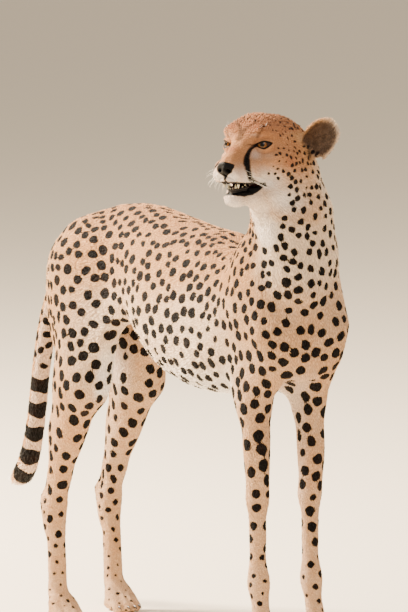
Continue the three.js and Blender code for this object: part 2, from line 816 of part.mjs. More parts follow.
/** A pointed tooth, its root at the given place and its tip at the given height from it. */
function tooth([x, y, z], height, r, lean) {
  const stations = [
    [-0.1, 1],
    [0.6, 0.75],
    [1, 0.15],
  ];
  const rings = stations.map(([share, wide]) =>
    Array.from({ length: 5 }, (_, n) => {
      const angle = (2 * Math.PI * n) / 5;
      const ahead = r * wide * Math.cos(angle) + lean * share;
      return [x + ahead, y + r * wide * Math.sin(angle), z + height * share];
    }),
  );
  return solid(lofted(rings));
}

/** A horseshoe of gum in a jaw: its bar, and the bar with its teeth. */
function gums({ back, front, width, z, slope, r, crowns }, grow) {
  const half = [
    [back, width],
    [(back + front) / 2, width * 0.8],
    [front - 10, width * 0.5],
    [front, width * 0.18],
  ];
  const line = [...half, ...half.map(([x, y]) => [x, -y]).reverse()];
  const path = new THREE.CatmullRomCurve3(
    line.map(([x, y]) => new THREE.Vector3(x, y, z + slope * (x - front))),
  );
  const section = new THREE.Shape();
  section.absellipse(0, 0, r + grow, r + grow, 0, Math.PI * 2);
  const options = { steps: 8, extrudePath: path, bevelEnabled: false, curveSegments: 3 };
  let made = solid(new THREE.ExtrudeGeometry(section, options));
  for (const [share, height, wide, lean] of grow ? [] : crowns)
    for (const at of [share, 1 - share])
      made = made.add(tooth(path.getPointAt(at).toArray(), height, wide, lean));
  return made;
}

// ---------------------------------------------------------------- nodes
const MATERIALS = {
  coat: [0.79, 0.62, 0.43, 0.9, 0],
  paleCoat: [0.9, 0.82, 0.7, 0.9, 0],
  blackSkin: [0.03, 0.025, 0.025, 0.5, 0],
  eye: [0.35, 0.19, 0.06, 0.12, 0],
  tooth: [0.88, 0.83, 0.68, 0.3, 0],
  tongue: [0.55, 0.22, 0.22, 0.5, 0],
  claw: [0.16, 0.13, 0.11, 0.4, 0],
};

/** A named mesh of a solid, with its material. */
function node(name, made, material) {
  const [r, g, b, roughness, metalness] = MATERIALS[material];
  const color = new THREE.Color().setRGB(r, g, b);
  const mesh = new THREE.Mesh(
    slimmed(geometryOf(made), 0, SLIVER),
    new THREE.MeshStandardMaterial({ color, roughness, metalness }),
  );
  mesh.name = name;
  return mesh;
}

const group = new THREE.Group();
const headGroup = new THREE.Group();
headGroup.applyMatrix4(headMatrix);
group.add(headGroup);

const flip = (n) => n.map((v) => -v);
const ground = halfSpace([0, 0, 0], [0, 0, 1], 0);

/** The field's skin in a box as a solid of few triangles, the largest where it is in pieces. */
function flesh(field, low, high, cell, target) {
  return largest(solid(slimmed(meshed(field, low, high, cell), target)));
}

const largest = (made) => made.decompose().sort((a, b) => b.volume() - a.volume())[0];

/** What belongs to one leg: its upper part beside the trunk, and all below. */
function legCutter(end, s, grow) {
  const fore = end === "fore";
  const upper = fore
    ? oval(322, 604, 60 + grow, 136 + grow, -14)
    : oval(-306, 614, 92 + grow, 146 + grow, 4);
  const [back, front] = fore ? [236, 440] : [-520, -168];
  const top = (fore ? 500 : 556) + grow;
  const lower = outline([
    [back, -60],
    [front, -60],
    [front, top],
    [back, top],
  ]);
  const inner = (fore ? 42 : 44) - grow;
  return slab(upper, s * inner, s * 260).add(slab(lower, s * (5 - grow), s * 260));
}

/** One leg and its paw, each a node, and its claws. */
function addLeg(end, side) {
  const s = SIDES[side];
  const fore = end === "fore";
  const [x, y] = fore ? FORE.paw : HIND[side].paw;
  const [back, front] = fore ? [190, 440] : [-520, -150];
  const [inner, outer] = s > 0 ? [-4, 140] : [-140, 4];
  const upper = flesh(cheetah, [back, inner, 40], [front, outer, 790], [7.6, 6.6, 10.4], fore ? 520 : 600);
  const cut = upper.intersect(legCutter(end, s, 0));
  const above = cut.intersect(halfSpace(NECK_PLANE.at, flip(NECK_PLANE.normal)));
  const shank = largest(above.intersect(halfSpace([0, 0, ANKLE], [0, 0, 1])));
  group.add(node(`${end}leg_${side}`, shank, "coat"));
  let foot = flesh(
    cheetah,
    [x - 70, s * y - 50, -14],
    [x + 90, s * y + 50, 94],
    [4.7, 4.9, 4.6],
    340,
  )
    .intersect(halfSpace([0, 0, ANKLE], [0, 0, -1]))
    .intersect(ground);
  const toes = fore ? FORE_TOES : HIND_TOES;
  [-1.5, -0.5, 0.5, 1.5].forEach((place, i) => {
    const ahead = toes.reach + (Math.abs(place) > 1 ? -9 : 0) + toes.toe - 3;
    const root = [x + ahead, s * y + place * toes.spread, toes.toe + 1.5];
    foot = foot.subtract(claw(root, 0.4));
    group.add(node(`claw_${end}_${side}_${i + 1}`, claw(root, 0), "claw"));
  });
  group.add(node(`${end}paw_${side}`, largest(foot), "coat"));
}

let trunkSolid = flesh(cheetah, [-440, -130, 430], [415, 130, 850], [13, 11, 12], 1050)
  .intersect(halfSpace(NECK_PLANE.at, flip(NECK_PLANE.normal)))
  .intersect(halfSpace(TAIL_PLANE.at, flip(TAIL_PLANE.normal)));
for (const end of ["fore", "hind"])
  for (const side of ["left", "right"]) {
    trunkSolid = trunkSolid.subtract(legCutter(end, SIDES[side], CUT));
    addLeg(end, side);
  }
group.add(node("trunk", largest(trunkSolid), "coat"));

const neckSide = placed(halfSpace(HEAD_PLANE.at, flip(HEAD_PLANE.normal)), headMatrix);
const neck = flesh(cheetah, [210, -140, 640], [430, 120, 1000], [10, 10, 11], 480)
  .intersect(halfSpace(NECK_PLANE.at, NECK_PLANE.normal))
  .intersect(neckSide);
group.add(node("neck", largest(neck), "coat"));

const tailCurve = new THREE.CatmullRomCurve3(TAIL_LINE.map(vec));
const tailEnd = tailCurve.getPointAt(TAIL_PARTS[0]).toArray();
const tailAway = tailCurve.getTangentAt(TAIL_PARTS[0]).toArray();
let tailBase = flesh(cheetah, [-560, -50, 480], [-380, 50, 770], [7, 7, 8], 240)
  .intersect(halfSpace(TAIL_PLANE.at, TAIL_PLANE.normal))
  .intersect(halfSpace(tailEnd, flip(tailAway)));
for (const s of Object.values(SIDES)) tailBase = tailBase.subtract(legCutter("hind", s, CUT));
group.add(node("tail_base", largest(tailBase), "coat"));
const halfCut = CUT / 2 / tailCurve.getLength();
const [first, second] = TAIL_PARTS;
group.add(node("tail_middle", tailLength(first + halfCut, second - halfCut, 6), "coat"));
group.add(node("tail_tip", tailLength(second + halfCut, 1, 8), "coat"));

// The head, in its own frame.
const headField = (x, y, z) => {
  const e = headMatrix.elements;
  return (
    cheetah(
      e[0] * x + e[4] * y + e[8] * z + e[12],
      e[1] * x + e[5] * y + e[9] * z + e[13],
      e[2] * x + e[6] * y + e[10] * z + e[14],
    ) / HEAD.scale
  );
};
const { corner, front: lips, upperFront, lowerFront } = MOUTH;
const gape = slab(outline([corner, [lips, lowerFront], [lips, upperFront]]), -80, 80);
const jawCutter = (grow) =>
  slab(
    outline([
      [corner[0] - grow, corner[1] + grow],
      [lips + 40, (upperFront + lowerFront) / 2 + grow],
      [lips + 40, -220],
      [-4 - grow, -220],
    ]),
    -100,
    100,
  );
const whole = flesh(headField, [-110, -90, -135], [180, 90, 90], [6, 6, 6], 1000);
let head = whole
  .intersect(halfSpace(HEAD_PLANE.at, HEAD_PLANE.normal))
  .subtract(gape);
let jaw = head.intersect(jawCutter(0));
head = head.subtract(jawCutter(CUT));
headGroup.add(node("nose", head.intersect(ball(NOSE_TIP, NOSE_RADII)), "blackSkin"));
head = head.subtract(ball(NOSE_TIP, NOSE_RADII.map((r) => r + CUT)));

/** The groove a horseshoe of gum sits in, open towards the mouth. */
const groove = (set, open) =>
  gums(set, CUT / 2).add(gums({ ...set, z: set.z + open }, CUT / 2));
head = head.subtract(groove(UPPER_TEETH, -4));
headGroup.add(node("upper_teeth", gums(UPPER_TEETH, 0), "tooth"));
jaw = jaw.subtract(groove(LOWER_TEETH, 4));
headGroup.add(node("lower_teeth", gums(LOWER_TEETH, 0), "tooth"));
jaw = jaw.subtract(ball(TONGUE.at, TONGUE.radii.map((r) => r + CUT / 2)));
jaw = largest(jaw);
headGroup.add(node("tongue", ball(TONGUE.at, TONGUE.radii), "tongue"));
headGroup.add(node("lower_jaw", jaw, "paleCoat"));

for (const [side, s] of Object.entries(SIDES)) {
  const [x, y, z] = [EYE.at[0], EYE.at[1] * s, EYE.at[2]];
  headGroup.add(node(`eye_${side}`, ball([x, y, z], [EYE.r, EYE.r, EYE.r]), "eye"));
  head = head.subtract(ball([x, y, z], [1, 1, 1].map(() => EYE.r + CUT)));
  const opening = new THREE.SphereGeometry(1, 10, 8)
    .scale(14, 15, 8)
    .rotateZ(s * THREE.MathUtils.degToRad(22))
    .translate(x + 18, y + s * 6, z);
  head = head.subtract(solid(opening));
}
head = largest(head);
for (const [side, s] of Object.entries(SIDES)) {
  const shell = ear(s).intersect(halfSpace(HEAD_PLANE.at, HEAD_PLANE.normal));
  headGroup.add(node(`ear_${side}`, largest(clearOf(shell, whole)), "coat"));
}
headGroup.add(node("head", head, "coat"));

// The origin goes to the middle of the base of the whole box.
const box = new THREE.Box3().setFromObject(group, true);
const centre = box.getCenter(new THREE.Vector3());
group.position.set(-centre.x, -centre.y, -box.min.z);
const model = new THREE.Group();
model.add(group);

export default model;
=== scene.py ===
"""A life-size cheetah, standing, with its head turned to its right, as a still museum model.

One skin is drawn over the flesh of the frame. It is sculpted at the eyes, ears, nose and mouth,
marked with spots, and covered with short tufts of fur that lie along the body. The eyes, teeth,
tongue, claws and whiskers are pieces of their own. Lengths are metres, or millimetres where a name
ends in _mm and in all that is given in the frame of the trunk or of the head.
"""
import json
import logging
import math
from contextlib import contextmanager
from dataclasses import dataclass, field
from enum import Enum
from typing import Any, Iterator, Sequence

import bpy
import numpy as np
from mathutils import Matrix, Vector
from mathutils.bvhtree import BVHTree
from mathutils.kdtree import KDTree

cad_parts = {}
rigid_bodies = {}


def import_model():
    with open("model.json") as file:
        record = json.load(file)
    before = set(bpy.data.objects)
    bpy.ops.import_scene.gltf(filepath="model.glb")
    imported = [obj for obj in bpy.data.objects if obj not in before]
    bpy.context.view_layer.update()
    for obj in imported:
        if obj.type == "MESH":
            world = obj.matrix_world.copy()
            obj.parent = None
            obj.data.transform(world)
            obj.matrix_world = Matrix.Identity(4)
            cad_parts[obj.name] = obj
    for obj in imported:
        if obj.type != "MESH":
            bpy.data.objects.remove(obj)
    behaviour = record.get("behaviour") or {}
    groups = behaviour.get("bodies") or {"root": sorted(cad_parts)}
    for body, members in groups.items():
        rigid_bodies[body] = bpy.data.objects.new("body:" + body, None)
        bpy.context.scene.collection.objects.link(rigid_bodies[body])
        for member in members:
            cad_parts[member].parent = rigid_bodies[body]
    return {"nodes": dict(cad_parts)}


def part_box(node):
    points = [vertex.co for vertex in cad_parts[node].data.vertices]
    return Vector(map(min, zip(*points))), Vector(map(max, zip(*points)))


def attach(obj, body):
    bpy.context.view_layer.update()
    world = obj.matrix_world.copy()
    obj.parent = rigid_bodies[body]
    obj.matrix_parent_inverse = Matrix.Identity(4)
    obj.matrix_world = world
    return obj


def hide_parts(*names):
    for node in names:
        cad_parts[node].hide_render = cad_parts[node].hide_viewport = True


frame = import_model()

log = logging.getLogger("cheetah")
MM = 0.001
SIDES = {"left": 1.0, "right": -1.0}
# Vertices of the flesh nearer than this are one, in metres.
WELD = 0.00001
# The skin and the fur stay this far above the floor, in millimetres.
SOLE_MM, FUR_FLOOR_MM = 0.8, 0.4
# A round of smoothing shrinks a surface by the first share, and swells it by the second.
SMOOTH_THEN_RESTORE = (0.5, -0.53)
Array = np.ndarray
Triple = tuple[float, float, float]
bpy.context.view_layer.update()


# ---------- small tools
def smooth(low: float, high: float, value: Array) -> Array:
    """Rises smoothly from 0 at low to 1 at high, or falls where low is above high."""
    t = np.clip((value - low) / (high - low), 0.0, 1.0)
    return t * t * (3.0 - 2.0 * t)


def unit(v: Array) -> Array:
    """Gives rows of vectors the length 1."""
    return v / np.maximum(np.linalg.norm(v, axis=-1, keepdims=True), 1e-12)


def hill(p: Array, at: Sequence[float], reach: Sequence[float]) -> Array:
    """Gives a soft hill, 1 at its middle and falling to 0 over its reach."""
    return np.exp(-(((p - np.array(at, float)) / np.array(reach, float)) ** 2).sum(1))


def relief(p: Array, forms: Sequence[tuple[Triple, Triple, float]]) -> Array:
    """Adds up the heights of many soft hills.

    Args:
        p: the places looked at.
        forms: each hill's middle, reach and height.

    Returns:
        The height at each place.
    """
    lift = np.zeros(len(p))
    for at, reach, amount in forms:
        lift += amount * hill(p, at, reach)
    return lift


def folded(p: Array) -> Array:
    """Mirrors places on the right side over to the left."""
    return np.stack([p[:, 0], np.abs(p[:, 1]), p[:, 2]], 1)


def colour(code: str) -> tuple[float, float, float, float]:
    """Turns six hexadecimal digits into the light that they stand for.

    Args:
        code: the digits of red, green and blue.

    Returns:
        Linear red, green and blue, and an opacity of 1.
    """
    parts = [int(code[i : i + 2], 16) / 255 for i in (0, 2, 4)]
    linear = [c / 12.92 if c <= 0.04045 else ((c + 0.055) / 1.055) ** 2.4 for c in parts]
    return linear[0], linear[1], linear[2], 1.0


def only(obj: bpy.types.Object) -> None:
    """Deselects everything, then selects and activates one object."""
    for other in bpy.context.view_layer.objects:
        other.select_set(False)
    obj.select_set(True)
    bpy.context.view_layer.objects.active = obj


@contextmanager
def editing(obj: bpy.types.Object) -> Iterator[None]:
    """Opens one mesh in edit mode with everything selected, and leaves edit mode after.

    Args:
        obj: the object whose mesh is opened.
    """
    only(obj)
    bpy.ops.object.mode_set(mode="EDIT")
    bpy.ops.mesh.select_all(action="SELECT")
    yield
    bpy.ops.object.mode_set(mode="OBJECT")


def copy_of(node: str, name: str) -> bpy.types.Object:
    """Copies a node of the frame, with a mesh of its own.

    Args:
        node: the node's name.
        name: the copy's name.

    Returns:
        The copy, linked to the scene.
    """
    copy = bpy.data.objects.new(name, frame["nodes"][node].data.copy())
    bpy.context.scene.collection.objects.link(copy)
    return copy


def rows_of(data: Any, key: str, width: int, kind: type = np.float32) -> Array:
    """Reads one property of all of a mesh's vertices, edges, corners or triangles.

    Args:
        data: the collection that is read.
        key: the property's name.
        width: the count of numbers in it.
        kind: the type of the numbers.

    Returns:
        One row for each element.
    """
    out = np.empty(len(data) * width, kind)
    data.foreach_get(key, out)
    return out.reshape(-1, width)


def points(obj: bpy.types.Object) -> Array:
    """Reads a mesh's vertices as an n by 3 array."""
    return rows_of(obj.data.vertices, "co", 3).astype(np.float64)


def put_points(obj: bpy.types.Object, co: Array) -> None:
    """Writes a mesh's vertices."""
    obj.data.vertices.foreach_set("co", co.astype(np.float32).ravel())
    obj.data.update()


def normals(obj: bpy.types.Object) -> Array:
    """Reads a mesh's vertex normals."""
    return rows_of(obj.data.vertex_normals, "vector", 3).astype(np.float64)


def edges(obj: bpy.types.Object) -> Array:
    """Reads a mesh's edges as pairs of vertex numbers."""
    return rows_of(obj.data.edges, "vertices", 2, np.int32)


def triangles(mesh: bpy.types.Mesh) -> Array:
    """Reads a mesh's triangles as threes of vertex numbers."""
    mesh.calc_loop_triangles()
    return rows_of(mesh.loop_triangles, "vertices", 3, np.int32)


def areas(co: Array, tri: Array) -> Array:
    """Gives the area of each triangle."""
    a, b, c = (co[tri[:, k]] for k in range(3))
    return np.linalg.norm(np.cross(b - a, c - a), axis=1) / 2


def relax(co: Array, pairs: Array, weight: Array | float, steps: int) -> Array:
    """Evens out a surface, with each smoothing step followed by one that restores its volume.

    Args:
        co: the vertices.
        pairs: the mesh's edges.
        weight: how much each vertex takes part, 0 to 1.
        steps: the number of rounds.

    Returns:
        The moved vertices.
    """
    n = len(co)
    share = np.broadcast_to(np.asarray(weight, float), (n,))[:, None]
    a, b = pairs[:, 0], pairs[:, 1]
    count = np.maximum(np.bincount(pairs.ravel(), minlength=n), 1)[:, None]
    for _ in range(steps):
        for amount in SMOOTH_THEN_RESTORE:
            mean = np.stack(
                [np.bincount(a, co[b, k], n) + np.bincount(b, co[a, k], n) for k in range(3)], 1
            )
            co = co + share * amount * (mean / count - co)
    return co


def add_attribute(obj: bpy.types.Object, name: str, values: Array) -> None:
    """Stores one number for each vertex under a name that materials read."""
    layer = obj.data.attributes.new(name, "FLOAT", "POINT")
    layer.data.foreach_set("value", values.astype(np.float32))


def mesh_from(name: str, co: Array, faces: Array) -> bpy.types.Object:
    """Makes an object from arrays.

    Args:
        name: the object's name.
        co: its vertices.
        faces: its faces as vertex numbers, all with the same count of corners.

    Returns:
        The object, linked to the scene.
    """
    mesh = bpy.data.meshes.new(name)
    sides = faces.shape[1]
    mesh.vertices.add(len(co))
    mesh.vertices.foreach_set("co", co.astype(np.float32).ravel())
    mesh.loops.add(faces.size)
    mesh.loops.foreach_set("vertex_index", faces.astype(np.int32).ravel())
    mesh.polygons.add(len(faces))
    mesh.polygons.foreach_set("loop_start", np.arange(0, faces.size, sides, dtype=np.int32))
    mesh.update(calc_edges=True)
    obj = bpy.data.objects.new(name, mesh)
    bpy.context.scene.collection.objects.link(obj)
    return obj


def along(path: Array, p: Array) -> tuple[Array, Array, Array]:
    """Finds the nearest place on a polyline.

    Args:
        path: the polyline's points.
        p: the places looked from.

    Returns:
        The distance to the line, the share of its length at the nearest place, and its way there.
    """
    a, b = path[:-1], path[1:]
    d = b - a
    length = np.linalg.norm(d, axis=1)
    start = np.concatenate([[0.0], np.cumsum(length)])
    best = np.full(len(p), np.inf)
    share = np.zeros(len(p))
    way = np.zeros((len(p), 3))
    for i in range(len(a)):
        t = np.clip(((p - a[i]) @ d[i]) / length[i] ** 2, 0.0, 1.0)
        gap = np.linalg.norm(p - a[i] - t[:, None] * d[i], axis=1)
        near = gap < best
        best[near] = gap[near]
        share[near] = (start[i] + t[near] * length[i]) / start[-1]
        way[near] = d[i] / length[i]
    return best, share, way


# ---------- the body's places
@dataclass(frozen=True)
class HeadFrame:
    """The head's own frame: +X to the nose, +Y to its left, +Z to the crown, in millimetres."""

    at_mm: Triple = (345.0, -59.0, 920.0)
    yaw: float = -65.5
    pitch: float = 10.0
    roll: float = 2.0
    scale: float = 1.035

    def turn(self) -> Array:
        """Gives the rotation from the head's frame to the body's."""
        z, y, x = math.radians(self.yaw), math.radians(-self.pitch), math.radians(self.roll)
        m = Matrix.Rotation(z, 3, "Z") @ Matrix.Rotation(y, 3, "Y") @ Matrix.Rotation(x, 3, "X")
        return np.array(m)


@dataclass
class Places:
    """Where things are on the animal, given in the trunk's and the head's own frames and set onto
    the frame by the box of its left eye.
    """

    head: HeadFrame = field(default_factory=HeadFrame)
    eye_mm: Triple = (71.0, 30.5, 18.0)
    eye_radius_mm: float = 16.0
    nose_mm: Triple = (142.0, 0.0, -27.0)
    ear_up: Triple = (-0.2, 0.56, 0.8)
    ear_face: Triple = (0.84, 0.54, -0.06)
    ear_base_mm: Triple = (-31.0, 53.0, 11.0)
    corner_mm: tuple[float, float] = (66.0, -49.0)
    lip_front_mm: float = 160.0
    upper_lip_mm: float = -56.0
    lower_lip_mm: float = -77.0
    tail_mm: tuple[Triple, ...] = (
        (-380, 0, 712),
        (-430, 0, 684),
        (-478, -4, 620),
        (-512, -8, 540),
        (-534, -10, 455),
        (-553, -8, 372),
        (-580, -4, 296),
        (-622, 2, 240),
        (-672, 6, 222),
    )
    shift: Array = field(init=False)

    def __post_init__(self) -> None:
        """Finds how far the frame's origin is moved from the middle of the trunk's own frame."""
        low, high = (np.array(v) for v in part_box("eye_left"))
        local = self.head.turn() @ (np.array(self.eye_mm) * self.head.scale)
        self.shift = (low + high) / 2 - (local + np.array(self.head.at_mm)) * MM

    def to_body(self, p: Array) -> Array:
        """Turns places in the row's frame into the trunk's own frame, in millimetres."""
        return (p - self.shift) / MM

    def from_body(self, p: Array) -> Array:
        """Turns places in the trunk's own frame into the row's frame, in metres."""
        return np.asarray(p, float) * MM + self.shift

    def to_head(self, p: Array) -> Array:
        """Turns places in the row's frame into the head's own frame, in millimetres."""
        return ((self.to_body(p) - self.head.at_mm) @ self.head.turn()) / self.head.scale

    def from_head(self, q: Array) -> Array:
        """Turns places in the head's own frame into the row's frame, in metres."""
        body = np.asarray(q, float) * self.head.scale @ self.head.turn().T + self.head.at_mm
        return self.from_body(body)

    def head_way(self, v: Sequence[float]) -> Array:
        """Turns a direction in the head's own frame into the row's frame."""
        return unit(self.head.turn() @ np.asarray(v, float))

    def lips(self, x: Array) -> tuple[Array, Array]:
        """Finds the mouth's opening.

        Args:
            x: distances forward in the head's frame.

        Returns:
            The heights of the upper and the lower lip's edge there.
        """
        t = (x - self.corner_mm[0]) / (self.lip_front_mm - self.corner_mm[0])
        upper = self.corner_mm[1] + (self.upper_lip_mm - self.corner_mm[1]) * t
        lower = self.corner_mm[1] + (self.lower_lip_mm - self.corner_mm[1]) * t
        return upper, lower

    def tail(self) -> Array:
        """Gives the tail's line in the trunk's own frame."""
        return np.array(self.tail_mm, float)


# Forms of the face as (place, reach, height), in the head's frame, mirrored to the other side.
FACE_FORMS = (
    ((80, 30, 37), (20, 13, 7), 2.4),  # brow
    ((97, 0, 22), (16, 9, 10), -1.6),  # stop between the eyes
    ((64, 47, -2), (26, 14, 8), 2.2),  # cheekbone
    ((62, 44, -22), (22, 12, 9), -2),  # hollow below it
    ((106, 19, 2), (16, 6, 8), -1.6),  # side of the bridge
    ((20, 56, -30), (26, 14, 26), 2),  # jaw muscle
    ((104, 24, -34), (12, 9, 9), 1.2),  # root of the whisker pad
    ((60, 0, 74), (40, 4, 12), -1.2),  # middle furrow of the forehead
    ((36, 42, 44), (20, 14, 14), 1.4),  # temple
    ((-6, 12, 62), (34, 30, 26), 1.5),  # back of the crown
    ((108, 12, -88), (10, 10, 6), 0.8),  # chin
    ((134, 14, -50), (16, 16, 12), -4),  # front of the whisker pad
    ((70, 34, 6), (14, 9, 5), -1.2),  # fold below the eye
)
# The middle of an ear's lower lobe, and how far it is drawn forward, inward and down.
EAR_LOBE, EAR_LOBE_PULL = (-46, 79, 9), (6, -7, -15)
# The black line from the eye's inner corner to the mouth, in the head's frame.
TEAR_LINE = (
    (88, 25, 16),
    (94, 21, 11),
    (100, 19, 1),
    (109, 22, -9),
    (117, 28, -19),
    (120, 32, -28),
    (118, 34, -35),
    (113, 34, -42),
    (100, 31, -46),
    (86, 30, -48),
    (70, 33, -51),
)
# The face's white and rust-coloured patches, and the painted shade at the roots of its ears, given
# as forms are.
WHITE_PATCHES = (
    ((112, 24, -42), (22, 16, 14), 1),  # whisker pad
    ((134, 12, -44), (18, 18, 13), 0.95),  # front of the upper lip
    ((100, 0, -84), (30, 26, 16), 1),  # chin
    ((70, 42, -44), (34, 22, 18), 0.9),  # behind the mouth's corner
    ((92, 28, 0), (13, 10, 11), 0.36),  # beside the tear line
    ((70, 42, -2), (16, 10, 7), 0.15),  # below the eye
    ((92, 26, 33), (8, 10, 3.5), 0.12),  # brow
    ((30, 52, -70), (50, 30, 24), 0.8),  # jaw
)
RUST_PATCHES = (
    ((112, 0, 2), (22, 14, 12), 0.9),  # bridge of the nose
    ((34, 60, -6), (24, 14, 14), 0.75),  # cheek
    ((88, 24, 46), (18, 18, 12), 0.5),  # over the eye
    ((74, 26, -88), (18, 12, 8), 0.8),  # below the jaw
    ((50, 10, 76), (40, 20, 14), 0.3),  # crown
)
# Painted shade in the opening at each ear's root.
EAR_OPENING_SHADE = (((-30, 60, 12), (11, 10, 9)), ((-33, 62, 26), (8, 7, 8)))
# How wide the nose leather is, as heights from its middle and half widths.
NOSE_LEATHER = ((-18, -14, -7, 2, 9), (1.8, 4.5, 14, 17.5, 16))
# How deep the black lower lip is, as distances forward and depths.
LOWER_LIP = ((66, 72, 80, 88, 104, 113, 124, 150), (3, 6, 11, 14, 14, 11, 6, 3.5))
# The chin in the head's frame, the throat's line below it in the trunk's own, and its whiteness.
CHIN = (70, 0, -84)
THROAT_LINE = ((360, -92, 840), (372, -92, 812), (382, -89, 794))
WHITE_THROAT = 0.62
# The faint dark lines over each eye's inner corner, in the head's frame.
FOREHEAD_STREAKS = (
    ((103, 2, 24), (97, 2, 36), (92, 5, 44), (88, 11, 50), (84, 18, 54), (76, 25, 60)),
    ((90, 29, 31), (91, 32, 38), (87, 35, 48), (79, 36, 56)),
)
# Forms of the body in the same way, in the trunk's own frame.
BODY_FORMS = (
    ((282, 78, 690), (16, 30, 66), 3),  # spine of the shoulder blade
    ((318, 84, 660), (20, 30, 60), -2),
    ((352, 92, 606), (24, 26, 26), 3),  # point of the shoulder
    ((250, 90, 560), (22, 30, 60), -2.2),  # behind the triceps
    ((-232, 70, 728), (26, 34, 22), 3.2),  # point of the hip
    ((-178, 80, 690), (36, 30, 44), -2.6),  # hollow of the flank
    ((-392, 58, 690), (22, 22, 26), 2.6),  # seat bone
    ((-300, 112, 520), (16, 20, 90), -1.8),  # between the thigh's muscles
    ((-262, 112, 560), (22, 20, 80), 2),
    ((392, 0, 600), (26, 9, 60), -2.2),  # furrow of the breastbone
    ((380, 34, 600), (22, 18, 54), 2),
    ((0, 0, 784), (300, 12, 10), -1.6),  # groove along the spine
    ((302, 86, 386), (22, 12, 56), 1.6),  # forearm
    ((286, 82, 330), (6, 14, 90), -1.2),
)
# Each paw's middle and the distance between its toes, in the trunk's own frame.
PAWS = (
    (322, 58, 15.5),
    (322, -58, 15.5),
    (-412, 78, 14.5),
    (-350, -82, 14.5),
)


